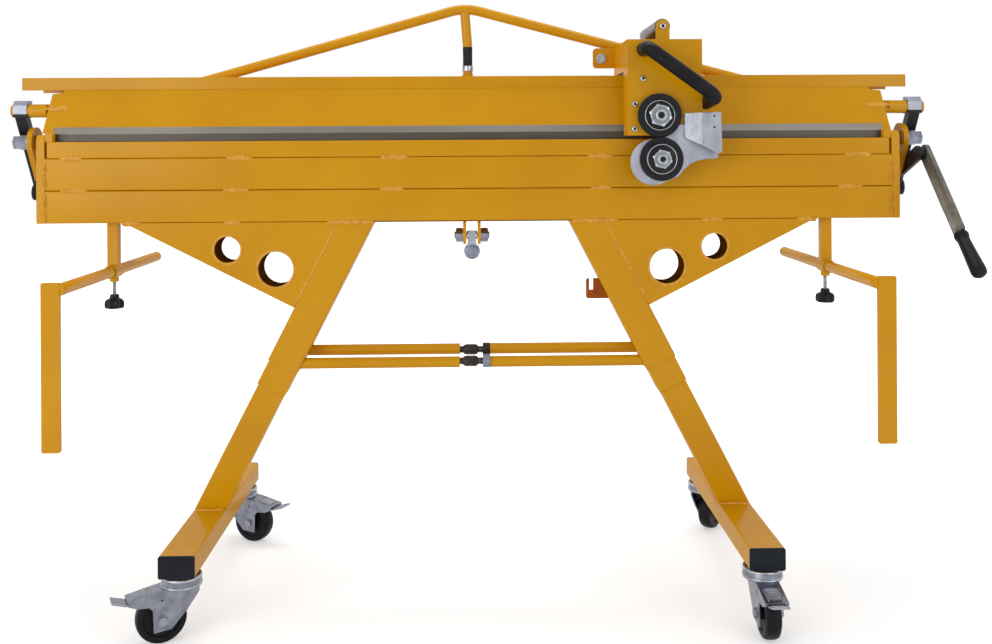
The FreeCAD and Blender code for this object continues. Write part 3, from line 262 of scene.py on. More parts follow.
# Nodes that the pieces further down stand for
REMADE = {"upper_cutter_disc", "lower_cutter_disc", "lever_grip", "tie_rod_screws"}
REMADE.update("gauge_knob_" + side for side in SIDES)
REMADE.update("caster_wheel_" + key for key in CORNERS)

# Meshes from the part: distances in metres, angles in degrees
SAME_POINT = 1e-6
FLAT_BELOW = 0.3
SMOOTH_BELOW = 32.0
MOST_SIDES = 60


def mark_smooth(mesh, angle):
    """Shades a mesh smooth except over edges sharper than the angle in degrees."""
    mesh.shade_smooth()
    mesh.set_sharp_from_angle(angle=math.radians(angle))


def soften_edges(obj, width_mm, angle):
    """Breaks the sharp edges of a piece by a small round."""
    bevel = obj.modifiers.new("broken edge", "BEVEL")
    bevel.width = width_mm * MM
    bevel.segments = 2
    bevel.limit_method = "ANGLE"
    bevel.angle_limit = math.radians(angle)
    bevel.harden_normals = True
    bevel.miter_outer = "MITER_ARC"


def skin(node, material, edge_mm):
    """A CAD node with its points merged, flats joined and edges broken, standing for that node."""
    source = bmesh.new()
    source.from_mesh(frame["nodes"][node].data)
    bmesh.ops.remove_doubles(source, verts=source.verts, dist=SAME_POINT)
    bmesh.ops.dissolve_limit(source, angle_limit=math.radians(FLAT_BELOW), verts=source.verts,
                             edges=source.edges)
    many_sided = [f for f in source.faces if len(f.verts) > MOST_SIDES]
    bmesh.ops.triangulate(source, faces=many_sided)
    mesh = bpy.data.meshes.new(node + ".skin")
    source.to_mesh(mesh)
    source.free()
    mark_smooth(mesh, SMOOTH_BELOW)
    obj = shown(node + ".skin", mesh, material)
    soften_edges(obj, edge_mm, SMOOTH_BELOW)
    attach(obj, frame["nodes"][node]["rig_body"])
    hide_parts(node)


for part in sorted(set(frame["nodes"]) - REMADE):
    skin(part, OWN_LOOK.get(part, SLOT_LOOK[SLOT_OF[part]]), EDGES.get(part, USUAL_EDGE))

# Surfaces worked out on grids: merging distances in metres, steps of a weld bead and a thread
POLE_POINT = 2e-6
NO_AREA = 1e-7
BEAD_STEP = 1.1
BEAD_LEAST = 12
BEAD_SIDES = 14
BOW = 1.3
WANDER = 0.12
WANDER_MM = 7.0
THREAD_STEPS = 6.0
THREAD_SIDES = 24


def grid_piece(name, grids, material, body, slot, replaced=(), smooth=35.0):
    """Joins grids of points to one mesh: rows by columns by 3, in metres, each row a closed ring.

    The face between rows i, i+1 and columns j, j+1 has the corners P[i,j], P[i,j+1], P[i+1,j+1]
    and P[i+1,j], with the last column next to the first. Rings that shrink to a point are merged
    to a pole.
    """
    points = np.concatenate([grid.reshape(-1, 3) for grid in grids])
    faces = []
    start = 0
    for grid in grids:
        rows, columns = grid.shape[:2]
        index = start + np.arange(rows * columns).reshape(rows, columns)
        beside = np.roll(index, -1, axis=1)
        quads = np.stack([index[:-1], beside[:-1], beside[1:], index[1:]], axis=-1)
        faces.append(quads.reshape(-1, 4))
        start += rows * columns
    mesh = bpy.data.meshes.new(name)
    mesh.from_pydata(points.tolist(), [], np.concatenate(faces).tolist())
    work = bmesh.new()
    work.from_mesh(mesh)
    bmesh.ops.remove_doubles(work, verts=work.verts, dist=POLE_POINT)
    bmesh.ops.dissolve_degenerate(work, dist=NO_AREA, edges=work.edges)
    bmesh.ops.recalc_face_normals(work, faces=work.faces)
    work.to_mesh(mesh)
    work.free()
    mark_smooth(mesh, smooth)
    obj = shown(name, mesh, material)
    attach(obj, body)
    if replaced:
        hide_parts(*replaced)
    return obj


def bed_piece(name, grids, *looks, **more):
    """A grid piece whose points are given in millimetres of the bed frame."""
    return grid_piece(name, [bed_place(grid) for grid in grids], *looks, **more)


def square_to(axis):
    """The unit vector a along an axis, and s and u that stand square to it and to each other."""
    a = np.array(Vector(axis).normalized())
    s = np.array(Vector(axis).orthogonal().normalized())
    return a, s, np.cross(a, s)


def turned(centre, axis, rings, steps=48):
    """A turned piece: rings of (radius, along) or (corner radius, along, 6), in millimetres.

    The point of ring r at the angle t is centre + along a + r g(t) (cos t s + sin t u), where a is
    the axis, s and u stand square to it, and g is 1 for a round ring and
    cos 30 / cos((t mod 60) - 30) for a six-sided one.
    """
    a, s, u = square_to(axis)
    t = np.linspace(0.0, 2.0 * np.pi, steps, endpoint=False)
    sixth = np.pi / 3.0
    hexed = math.cos(sixth / 2.0) / np.cos(np.mod(t, sixth) - sixth / 2.0)
    table = np.array([(*ring, 0.0)[:3] for ring in rings])
    shape = np.where(table[:, 2:3] > 0.0, hexed, 1.0)
    around = np.cos(t)[:, None] * s + np.sin(t)[:, None] * u
    reach = (table[:, :1] * shape)[:, :, None] * around
    return np.asarray(centre, dtype=float) + table[:, 1][:, None, None] * a + reach


def torus_rings(radius, along, wide, high, steps=12):
    """Rings of an oval wire loop: (radius + wide cos p, along + high sin p), p from 0 to 2 pi."""
    p = np.linspace(0.0, 2.0 * np.pi, steps + 1)
    return list(zip(radius + wide * np.cos(p), along + high * np.sin(p)))


def bead(start, end, out, half_width, height, pitch=5.0, ripple=0.16):
    """A weld bead: an ellipse carried from start to end, rippled along its length, in millimetres.

    At the distance s the section is w(s) cos v across and h(s) sin v outwards. Both fall to
    nothing at the ends as the root of 1 - |2 s / length - 1| ^ 6. h swells by ripple times the
    cosine of 2 pi s / pitch + 1.3 cos v, so that the ripples bow like a welder's, and the middle
    wanders sideways by 0.12 of the half width as the sine of s / 7 mm.
    """
    start = np.array(start, dtype=float)
    end = np.array(end, dtype=float)
    out = np.array(out, dtype=float)
    length = np.linalg.norm(end - start)
    along = (end - start) / length
    side = np.cross(along, out)
    u = np.linspace(0.0, 1.0, max(int(length / BEAD_STEP), BEAD_LEAST))[:, None]
    v = np.linspace(0.0, 2.0 * np.pi, BEAD_SIDES, endpoint=False)[None, :]
    fall = np.sqrt(np.clip(1.0 - np.abs(2.0 * u - 1.0) ** 6, 0.0, 1.0))
    swell = 1.0 + ripple * np.cos(2.0 * np.pi * length * u / pitch + BOW * np.cos(v))
    wander = WANDER * half_width * np.sin(length * u / WANDER_MM)
    across = half_width * fall * (1.0 + 0.5 * ripple * (swell - 1.0)) * np.cos(v) + wander * fall
    lift = height * fall * swell * np.sin(v)
    spot = start + (u * length)[:, :, None] * along
    return spot + across[:, :, None] * side + lift[:, :, None] * out


def thread(centre, axis, start, end, radius, pitch, depth):
    """A screw thread: the radius falls and rises with along / pitch - t / turn, a triangle wave."""
    a, s, u = square_to(axis)
    along = np.linspace(start, end, int((end - start) / pitch * THREAD_STEPS) + 1)[:, None]
    t = np.linspace(0.0, 2.0 * np.pi, THREAD_SIDES, endpoint=False)[None, :]
    phase = np.mod(along / pitch - t / (2.0 * np.pi), 1.0)
    r = radius - depth * (1.0 - np.abs(2.0 * phase - 1.0))
    r[0] = 0.0
    r[-1] = 0.0
    around = np.cos(t)[:, :, None] * s + np.sin(t)[:, :, None] * u
    return np.asarray(centre, dtype=float) + along[:, :, None] * a + r[:, :, None] * around


def closed_prism(outline, start, end, axis):
    """A straight bar along X (0), Y (1) or Z (2): two end centres and two rings of the outline.

    The outline gives the two other coordinates in their own order, in millimetres.
    """
    ring = np.array(outline, dtype=float)
    middle = np.repeat(ring.mean(axis=0)[None], len(ring), axis=0)
    rows = [np.insert(points, axis, place, axis=1)
            for place, points in ((start, middle), (start, ring), (end, ring), (end, middle))]
    return np.stack(rows)


# Welds, in millimetres of the bed frame: the X limits of each bead on the long seams
STRIP_WELDS = ((-1010, -954), (-603, -539), (-225, -157), (288, 353), (929, 994))
TUBE_WELDS = ((-1008, -942), (-611, -547), (-226, -167), (295, 347), (911, 973))
UNDER_WELDS = ((-860, -811), (-611, -567), (-357, -241), (248, 364), (571, 625), (808, 858))
# The Y and Z of those seams; the lower one is welded at the back as well
STRIP_SEAM = (0.5, -41.0)
TUBE_SEAM = (2.6, -120.0)
UNDER_SEAM = (1.6, -201.0)
UNDER_BACK = (78.4, -201.0)
# X and Y of the end plates' seams and the Z limits of their beads
END_SEAM = (1045.0, 0.8)
END_WELDS = ((-44.0, -74.0), (-78.0, -114.0), (-126.0, -160.0), (-164.0, -197.0))
# X and Z of both ends of the gussets' sloped seam, and its Y at the front and the back
LEG_SEAM = ((330.5, -202.0), (438.0, -408.0))
LEG_FACES = ((0.4, OUT), (79.6, BACK))
# X limits, place and direction of the bead where a leg stands on its foot bar
FOOT_WELD = (612.0, 684.0)
FOOT_SEAM = (-0.4, bed_box("foot_bars")[1][2])
FOOT_OUT = (0.0, -0.7, 0.7)
# The same for the beads where the clamp's end stubs lie in the leaning web
LEAN = math.radians(20.0)
STUB_WELD = (1003.0, 1058.0)
STUB_SEAM = (51.9, 84.6)
STUB_OUT = (0.0, -math.cos(LEAN), math.sin(LEAN))
# Half width, height, pitch of the ripples and their share of the height
STRIP_BEAD = (7.5, 3.0, 11.0, 0.14)
TUBE_BEAD = (7.0, 4.6, 7.0, 0.2)
UNDER_BEAD = (6.6, 4.2, 7.0, 0.2)
END_BEAD = (4.8, 4.0, 6.0, 0.35)
LEG_BEAD = (3.4, 2.0, 6.0)
FOOT_BEAD = (4.6, 3.2, 7.0, 0.2)
STUB_BEAD = (6.5, 2.6, 8.0, 0.12)


def level_bead(x0, x1, seam, out, shape):
    """A bead that runs level along the bed from x0 to x1, at the Y and Z of its seam."""
    return bead((x0, *seam), (x1, *seam), out, *shape)


def frame_welds():
    """Every bead on the front and back of the bed, the end plates, the gussets and the feet."""
    beads = [level_bead(x0, x1, STRIP_SEAM, OUT, STRIP_BEAD) for x0, x1 in STRIP_WELDS]
    beads += [level_bead(x0, x1, TUBE_SEAM, OUT, TUBE_BEAD) for x0, x1 in TUBE_WELDS]
    for x0, x1 in UNDER_WELDS:
        beads.append(level_bead(x0, x1, UNDER_SEAM, OUT, UNDER_BEAD))
        beads.append(level_bead(x0, x1, UNDER_BACK, BACK, UNDER_BEAD))
    for side in MIRRORED:
        x, y = side * END_SEAM[0], END_SEAM[1]
        beads += [bead((x, y, z0), (x, y, z1), OUT, *END_BEAD) for z0, z1 in END_WELDS]
        (xa, za), (xb, zb) = LEG_SEAM
        for y, out in LEG_FACES:
            beads.append(bead((side * xa, y, za), (side * xb, y, zb), out, *LEG_BEAD))
        x0, x1 = FOOT_WELD
        beads.append(level_bead(side * x0, side * x1, FOOT_SEAM, FOOT_OUT, FOOT_BEAD))
    return beads


def stub_welds():
    """The beads of both end stubs."""
    x0, x1 = STUB_WELD
    return [level_bead(side * x0, side * x1, STUB_SEAM, STUB_OUT, STUB_BEAD) for side in MIRRORED]


# Weld beads in the lighter enamel: painted highlight
bed_piece("frame_welds", frame_welds(), AMBER_PAINTED_HIGHLIGHT, "frame", "yellow_enamel")
bed_piece("stub_welds", stub_welds(), AMBER_PAINTED_HIGHLIGHT, "clamp", "yellow_enamel")

# The bevel that the pressing bar shows under the web's edge, lighter than its front: painted
# highlight
BEVEL_OUTLINE = [(28.0, 20.5), (33.8, 36.5), (35.2, 36.5), (30.6, 20.5)]
blade_low, blade_high = bed_box("clamp_blade")
bed_piece("blade_bevel", [closed_prism(BEVEL_OUTLINE, blade_low[0], blade_high[0], 0)], BLADE,
          "clamp", "bare_steel", smooth=20.0)

# Painted shade in the long seams: depth, height, half of the width, half of the length
SEAMS = ((1.6, -40.6, 1.5, 1039.0), (2.2, -120.0, 2.1, 1045.0), (1.8, -200.0, 1.4, 845.0))
SHADE_THICK = 0.5
seams = [closed_prism([(deep, z - wide), (deep, z + wide), (deep + SHADE_THICK, z + wide),
                       (deep + SHADE_THICK, z - wide)], -half, half, 0)
         for deep, z, wide, half in SEAMS]
bed_piece("seam_painted_shade", seams, SEAM_PAINTED_SHADE, "frame", "brown_paint", smooth=20.0)

# Rims of the carrying holes, and liners of painted shade on their walls
RIM_OUT = 3.2
RIM_WIRE = (3.4, 1.7)
LINER_SHORT = 1.0
LINER_INNER = 0.3
LINER_OUTER = 0.05
LINER_STEPS = 64


def carrying_holes():
    """A rolled rim on both faces of each bore of the record, and a liner of painted shade on its
    wall.
    """
    rims = []
    liners = []
    for mount in frame["record"]["mounts"]:
        if mount["kind"] != "bore":
            continue
        hole = np.array(mount["pos_m"]) / MM
        r = mount["dims"]["r_mm"]
        half = mount["dims"]["length_mm"] / 2.0
        for face in (-half, half):
            rims.append(turned(hole, BACK, torus_rings(r + RIM_OUT, face, *RIM_WIRE)) * MM)
        reach = half - LINER_SHORT
        inner = r - LINER_INNER
        outer = r - LINER_OUTER
        wall = [(inner, -reach), (inner, reach), (outer, reach), (outer, -reach), (inner, -reach)]
        liners.append(turned(hole, BACK, wall, LINER_STEPS) * MM)
    # Rims in the lighter enamel: painted highlight
    grid_piece("hole_rims", rims, AMBER_PAINTED_HIGHLIGHT, "frame", "yellow_enamel")
    # Liners on the bores' walls: painted shade
    grid_piece("hole_shade_liners", liners, BORE_PAINTED_SHADE, "frame", "brown_paint")


carrying_holes()

# Radius to which the ends of nuts are turned, as a share of the radius over their corners
CHAMFER = 0.87

# Tie rod screws: a tapered sleeve, a stud and a lock nut on each rod, as rings along X
TIE_HALF = 16.0
TIE_CORNER = 2.0 * TIE_HALF / math.sqrt(3.0)
TIE_SLEEVE = [(0, -32), (8.6, -32), (8.2, -26), (8.8, -24), (12.2, -20), (13.2, -16), (13.3, 6),
              (12.2, 11), (9.8, 13.0), (0, 13.0)]
TIE_NUT = [(0, 25.6), (TIE_CORNER * CHAMFER, 25.6), (TIE_CORNER * 0.99, 28, 6),
           (TIE_CORNER * 0.99, 41.6, 6), (TIE_CORNER * CHAMFER, 44), (0, 44)]
# Start, end, radius, pitch and depth of a thread
TIE_THREAD = (8.0, 27.0, 9.0, 3.2, 1.3)
tie_low, tie_high = bed_box("tie_rod_screws")
LOWER_TIE = (0, tie_low[1] + TIE_HALF, tie_low[2] + TIE_CORNER)
UPPER_TIE = (0, tie_high[1] - TIE_HALF, tie_high[2] - TIE_CORNER)
TIES = (LOWER_TIE, UPPER_TIE)
bed_piece("tie_rod_sleeves", [turned(tie, ALONG, TIE_SLEEVE) for tie in TIES], SCALE, "frame",
          "black_paint", replaced=("tie_rod_screws",))
bed_piece("tie_rod_studs", [thread(tie, ALONG, *TIE_THREAD) for tie in TIES], OILED, "frame",
          "bare_steel")
bed_piece("tie_rod_nut_upper", [turned(UPPER_TIE, ALONG, TIE_NUT)], SCALE, "frame", "black_paint",
          smooth=25.0)
bed_piece("tie_rod_nut_lower", [turned(LOWER_TIE, ALONG, TIE_NUT)], PRESSED, "frame", "zinc",
          smooth=25.0)


# Small fasteners
def socket_screw(centre, r):
    """A button head facing the viewer, open at its middle."""
    rings = [(0, -0.5), (r, -0.5), (r, 0.3 * r), (0.86 * r, 0.55 * r), (0.6 * r, 0.66 * r),
             (0.5 * r, 0.68 * r), (0.42 * r, 0.3 * r), (0, 0.3 * r)]
    return turned(centre, OUT, rings)


def socket_shade(centre, corner, height):
    """A dark six-sided plate just above the metal at the bottom of a socket: painted shade."""
    rings = [(0, height - 0.4), (corner, height - 0.4, 6), (corner, height, 6), (0, height)]
    return turned(centre, OUT, rings)


def hex_bolt(centre, axis, flats, thick, washer):
    """A six-sided head with a turned face on a round washer."""
    c = flats / math.sqrt(3.0)
    return turned(centre, axis, [(0, -0.5), (washer, -0.5), (washer, 1.6), (c, 1.7, 6),
                                 (c, thick * 0.82, 6), (c * CHAMFER, thick), (0, thick)])


def nut_rings(corner, start, end):
    """A six-sided nut whose corners are turned off."""
    return [(0, start), (corner, start, 6), (corner, end - 1.4, 6), (corner * CHAMFER, end),
            (0, end)]


def face_rings(radius, start):
    """A round washer face, a little proud of its nut."""
    return [(0, start), (radius, start), (radius - 0.3, start + 0.5), (0, start + 0.5)]


def boss_rings(radius, start, end):
    """The round end of a shaft: a ring with an open middle."""
    return [(0, start), (radius, start), (radius, end - 1.2), (radius - 1.4, end),
            (radius * 0.62, end), (radius * 0.56, end - 2.0), (0, end - 2.0)]


# Cutter: X, Z and radius of the button heads, the bolt of the ear, the holes of the deflector
SCREW_SPOTS = ((416.3, 145.8, 7.2), (396.5, 84.2, 7.2), (395.2, 24.0, 7.2), (465.0, 272.5, 8.0))
EAR_X = 343.5
EAR_Z = 213.6
EAR_DEEP = 5.0
EAR_BOLT = (19.6, 8.4, 13.0)
WING_HOLE_IN = 18.5
WING_HOLE_ZS = (53.6, 26.4)
# A dark disc over each hole of the deflector: painted shade
WING_HOLE = [(0, -2.8), (2.5, -2.8), (2.5, -0.2), (0, -0.2)]
house_low, house_high = bed_box("cutter_housing")
wing_low, wing_high = bed_box("cutter_deflector")
house_screws = [socket_screw((x, house_low[1], z), r) for x, z, r in SCREW_SPOTS]
house_screws.append(hex_bolt((EAR_X, house_high[1] - EAR_DEEP, EAR_Z), OUT, *EAR_BOLT))
bed_piece("cutter_screws", house_screws, ZINC, "cutter", "zinc", smooth=30.0)
# Dark plates in the sockets and over the deflector's holes: painted shade
shade_bits = [socket_shade((x, house_low[1], z), 0.5 * r, 0.7 * r) for x, z, r in SCREW_SPOTS]
shade_bits += [turned((wing_high[0] - WING_HOLE_IN, wing_low[1], z), OUT, WING_HOLE)
              for z in WING_HOLE_ZS]
bed_piece("cutter_shade_bits", shade_bits, BLACK_STEEL, "cutter", "black_paint", smooth=30.0)

# Clevis bolt with its two nuts, and the strap and round pin of the hanging eye
CLEVIS_X = 22.2
CLEVIS_PLACE = (40.0, -238.0)
CLEVIS_NUT = (33.0, 18.0, 17.0)
CLEVIS_BOSS = (9.0, 39.0, 43.5)
STRAP_OUTLINE = [(-8.6, -226.0), (8.6, -226.0), (9.4, -246.0), (12.0, -262.0), (16.0, -274.0),
                 (-16.0, -274.0), (-12.0, -262.0), (-9.4, -246.0)]
STRAP_FACES = (29.0, 35.6)
EYE_PIN = (0.0, 35.5, -278.0)
EYE_PIN_RINGS = [(0, -8.3), (19.8, -8.3), (19.8, 4.4), (18.2, 6.6), (15.0, 7.0), (14.4, 7.4, 6),
                 (14.0, 10.2, 6), (12.2, 11.0), (0, 11.0)]
clevis = [hex_bolt((side * CLEVIS_X, *CLEVIS_PLACE), (side, 0, 0), *CLEVIS_NUT)
          for side in (1, -1)]
clevis += [turned((0.0, *CLEVIS_PLACE), (side, 0, 0), boss_rings(*CLEVIS_BOSS))
           for side in MIRRORED]
bed_piece("clevis_bolt", clevis, PRESSED, "frame", "zinc", smooth=30.0)
bed_piece("shackle_strap", [closed_prism(STRAP_OUTLINE, *STRAP_FACES, 1)], SHEET, "eye", "zinc",
          smooth=30.0)
bed_piece("shackle_pin", [turned(EYE_PIN, OUT, EYE_PIN_RINGS)], PRESSED, "eye", "zinc",
          smooth=30.0)

# Bright ring round the foot of the truss strut
STRUT_RINGS = [(12.0, 0.3), (14.2, 0.3), (14.4, 2.0), (14.4, 12.0), (14.0, 13.9), (12.0, 13.9),
               (12.0, 0.3)]
strut_low, strut_high = bed_box("truss_adjuster")
strut_foot = (*((strut_low + strut_high) / 2.0)[:2], strut_low[2])
bed_piece("strut_ring", [turned(strut_foot, UP, STRUT_RINGS)], ZINC, "clamp", "zinc")

# Bright heads of the clamp links, as an outline round the axis of the end stub
STUB_Y = 67.0
STUB_Z = 79.0
CAP_OUTLINE = [(STUB_Y - 17.4, STUB_Z - 9.0), (STUB_Y - 17.4, STUB_Z + 13.2),
               (STUB_Y - 7.2, STUB_Z + 25.4), (STUB_Y + 17.4, STUB_Z + 25.4),
               (STUB_Y + 17.4, STUB_Z - 9.0)]
CAP_LONG = 35.5
CAP_PROUD = 0.3
CAP_EDGE = (1.2, 25.0)


def link_cap(side):
    """A thin bright cap over the sloped head of one link."""
    low, high = bed_box("clamp_link_" + side)
    if side == "right":
        x0, x1 = high[0] - CAP_LONG, high[0] + CAP_PROUD
    else:
        x0, x1 = low[0] - CAP_PROUD, low[0] + CAP_LONG
    cap = bed_piece("link_head_" + side, [closed_prism(CAP_OUTLINE, x0, x1, 0)], SHEET,
                    "link_" + side, "zinc", smooth=20.0)
    soften_edges(cap, *CAP_EDGE)


for side in SIDES:
    link_cap(side)

# Cutter discs: rings from the back face outwards, then the sizes of what stands on each disc
DISC_STEPS = 96
RING_RADIUS = 35.4
RING_WIRE = 1.1
UPPER_DISC = {
    "body": [(0, 0), (20, 0), (20, 11.7), (52.4, 11.7), (53, 12.3), (53, 14.6), (50.2, 17.7),
             (38.5, 17.9), (37.6, 18.9), (33, 18.9), (32, 18.0), (30, 18.0), (0, 18.0)],
    "ring": 19.0, "nut": (28.3, 18.2, 30.6), "boss": (13.8, 30.0, 39.4), "face": (22.0, 30.5),
    "socket": (8.2, 38.0),
}
LOWER_DISC = {
    "body": [(8.2, 0.2), (52.6, 0.2), (53, 0.8), (52.6, 2.0), (41, 2.4), (40, 6.4), (37, 8.0),
             (8.2, 8.0), (8.2, 0.2)],
    "ring": 8.0, "nut": (24.3, 8.0, 17.0), "boss": (12.4, 16.0, 20.6), "face": (18.8, 16.9),
    "socket": (7.2, 19.4),
}


def cutter_disc(key, sizes):
    """A blacked disc, bright ring, six-sided nut and socketed shaft, nut face and socket in painted
    shade.
    """
    node = key + "_cutter_disc"
    disc = key + "_disc"
    low, high = bed_box(node)
    centre = ((low[0] + high[0]) / 2.0, high[1], (low[2] + high[2]) / 2.0)
    wire = torus_rings(RING_RADIUS, sizes["ring"], RING_WIRE, RING_WIRE)
    bed_piece(disc + "_body", [turned(centre, OUT, sizes["body"], DISC_STEPS)], BLACK_STEEL, disc,
              "bare_steel", replaced=(node,))
    bed_piece(disc + "_ring", [turned(centre, OUT, wire, DISC_STEPS)], TURNED, disc, "bare_steel")
    bed_piece(disc + "_nut", [turned(centre, OUT, nut_rings(*sizes["nut"])),
                              turned(centre, OUT, boss_rings(*sizes["boss"]))],
              ZINC, disc, "zinc", smooth=28.0)
    # The nut's end face in darker grey: painted shade
    bed_piece(disc + "_shaded_face", [turned(centre, OUT, face_rings(*sizes["face"]))], NUT_FACE_PAINTED_SHADE, disc,
              "zinc")
    # Dark plate at the bottom of the shaft's socket: painted shade
    bed_piece(disc + "_socket_shade", [socket_shade(centre, *sizes["socket"])], BLACK_STEEL, disc,
              "black_paint")


cutter_disc("upper", UPPER_DISC)
cutter_disc("lower", LOWER_DISC)

# Rubber grip: Y and Z of its ends, then its radii at shares of its length
GRIP_START = (-188.0, -226.0)
GRIP_END = (-285.0, -309.0)
GRIP_SHARES = np.array([0.0, 0.0, 0.02, 0.05, 0.09, 0.12, 0.2, 0.4, 0.6, 0.8, 0.9, 0.96, 0.99,
                        1.0, 1.0])
GRIP_RADII = np.array([9.0, 15.6, 16.8, 17.0, 16.4, 14.6, 14.4, 15.2, 16.2, 17.4, 17.8, 16.6,
                       13.0, 8.0, 0.0])


def lever_grip():
    """Rubber grip: a collar, a waist and a swollen rounded end, as radii along the lever's end."""
    low, high = bed_box("lever_grip")
    x = (low[0] + high[0]) / 2.0
    start = np.array([x, *GRIP_START])
    end = np.array([x, *GRIP_END])
    rings = list(zip(GRIP_RADII, GRIP_SHARES * np.linalg.norm(end - start)))
    bed_piece("lever_grip_rubber", [turned(start, end - start, rings)], RUBBER, "shaft",
              "black_rubber", replaced=("lever_grip",))


lever_grip()

# Star knobs and tube ends of the gauges; a knob's rows are radius, height and depth of the lobes
LOBES = 7.0
KNOB_STEPS = 84
KNOB_ROWS = np.array([(0.0, 1.0, 0.0), (8.0, 0.6, 0.0), (16.0, 0.4, 0.6), (19.5, 1.2, 1.9),
                      (21.2, 4.0, 2.3), (21.6, 11.0, 2.4), (21.0, 18.0, 2.2), (18.0, 22.5, 1.4),
                      (13.5, 24.6, 0.4), (11.4, 27.0, 0.0), (10.8, 34.0, 0.0), (9.0, 35.0, 0.0),
                      (0.0, 35.0, 0.0)])
SCREW_START = 32.0
SCREW_THREAD = (5.0, 1.8, 0.7)
ARM_RADIUS = 13.5
ARM_Z = -320.0
ARM_DEEP = 10.0
ARM_PLUG = [(0, 8.6), (9.0, 8.6), (12.2, 7.4), (13.4, 4.0), (13.4, -4.0), (0, -4.0)]


def star_knob(side):
    """A lobed knob, of radius r + d cos 7t at each height, with a round neck and a screw."""
    low, high = bed_box("gauge_knob_" + side)
    x, y = (low[:2] + high[:2]) / 2.0
    z = low[2]
    t = np.linspace(0.0, 2.0 * np.pi, KNOB_STEPS, endpoint=False)
    r = KNOB_ROWS[:, :1] + KNOB_ROWS[:, 2:3] * np.cos(LOBES * t)
    height = z + np.repeat(KNOB_ROWS[:, 1:2], len(t), axis=1)
    knob = np.stack([x + r * np.cos(t), y + r * np.sin(t), height], axis=-1)
    bed_piece("star_knob_" + side, [knob], PLASTIC, "knob_" + side, "black_plastic",
              replaced=("gauge_knob_" + side,))
    screw = thread((x, y, z), UP, SCREW_START, high[2] - z, *SCREW_THREAD)
    bed_piece("knob_screw_" + side, [screw], ZINC, "knob_" + side, "zinc")


def arm_end(side):
    """The closed near end of one gauge tube."""
    low, high = bed_box("gauge_arm_" + side)
    x = low[0] + ARM_RADIUS if side == "right" else high[0] - ARM_RADIUS
    bed_piece("arm_end_" + side, [turned((x, low[1] + ARM_DEEP, ARM_Z), OUT, ARM_PLUG)], AMBER,
              "gauge_" + side, "yellow_enamel")


for side in SIDES:
    star_knob(side)
for side in SIDES:
    arm_end(side)

# Casters: each drawn trailing along +X and turned to the joint axes of the record
JOINTS = {joint["name"]: joint for joint in frame["record"]["behaviour"]["joints"]}
TYRE = [(6.4, -21.2), (13.6, -21.2), (13.6, -13.0), (30.0, -12.4), (37.5, -13.6), (39.5, -16.6),
        (43.0, -17.7), (48.5, -17.2), (52.2, -15.0), (54.2, -10.5), (55.0, -4.0), (55.0, 4.0),
        (54.2, 10.5), (52.2, 15.0), (48.5, 17.2), (43.0, 17.7), (39.5, 16.6), (37.5, 13.6),
        (30.0, 12.4), (13.6, 13.0), (13.6, 21.2), (6.4, 21.2), (6.4, -21.2)]
ROUND_STEPS = 72
TRAIL = 45.0
WHEEL_R = 55.0
# Radius, height and wire of the rolled rim and of the collar under it
CROWN_RIM = (41.2, 138.2, 3.6, 3.6)
CROWN_COLLAR = (43.2, 122.0, 2.2, 2.2)
# Half width of the fork, its axle bolts, and the X and Z, ring and hole of its pin
FORK_HALF = 26.2
AXLE_BOLT = (18.4, 6.4, 11.5)
PIN_X = 46.0
PIN_Z = 100.0
PIN_RING = (3.4, 0.2, 1.2, 1.2)
# A dark disc over each pin hole: painted shade
PIN_HOLE = [(0, 0), (2.6, 0), (2.6, 0.5), (0, 0.5)]
# X and Z of the creases across the sloped fork top, its long folds, its pad and the pad's lines
FORK_OUT = (0.19, 0.0, 0.98)
CREASES = ((68.0, 115.9), (74.0, 114.7))
CREASE_HALF = 15.0
FOLD_START = (66.0, 116.3)
FOLD_END = (112.0, 107.2)
FOLD_YS = (-16.0, 16.0)
PAD_OUTLINE = [(76.0, 114.4), (106.0, 108.5), (106.0, 109.4), (76.6, 115.4)]
PAD_HALF = 13.5
PAD_LINES = ((82.0, 114.3), (88.0, 113.1))
PAD_LINE_HALF = 9.0
# X of the pedal's ribs, the X and Z where its tread starts, and how it rises over a run
RIB_XS = (126.0, 131.0, 136.0, 141.0, 146.0)
RIB_HALF = 15.0
TREAD_X = 120.0
TREAD_Z = 101.2
TREAD_RISE = 9.5
TREAD_RUN = 30.0
PEDAL_OUT = (-0.3, 0.0, 0.95)
# Half width, height, pitch and ripple of the plain raised lines
CREASE = (1.8, 1.6, 60.0, 0.0)
FOLD = (1.6, 1.4, 60.0, 0.0)
PAD_LINE = (0.9, 0.8, 60.0, 0.0)
RIB = (1.3, 1.3, 60.0, 0.0)


def cross_bead(x, z, half, out, shape):
    """A plain raised line across a fork or a pedal."""
    return bead((x, -half, z), (x, half, z), out, *shape)


def fork_fittings():
    """Axle bolts and pin rings on both sides, and the creases, folds, pad and lines on top."""
    bits = []
    for side in MIRRORED:
        outward = (0, side, 0)
        bits.append(hex_bolt((TRAIL, side * FORK_HALF, WHEEL_R), outward, *AXLE_BOLT))
        bits.append(turned((PIN_X, side * FORK_HALF, PIN_Z), outward, torus_rings(*PIN_RING)))
    bits += [cross_bead(x, z, CREASE_HALF, FORK_OUT, CREASE) for x, z in CREASES]
    for y in FOLD_YS:
        start = (FOLD_START[0], y, FOLD_START[1])
        end = (FOLD_END[0], y, FOLD_END[1])
        bits.append(bead(start, end, FORK_OUT, *FOLD))
    bits.append(closed_prism(PAD_OUTLINE, -PAD_HALF, PAD_HALF, 1))
    bits += [cross_bead(x, z, PAD_LINE_HALF, FORK_OUT, PAD_LINE) for x, z in PAD_LINES]
    return bits


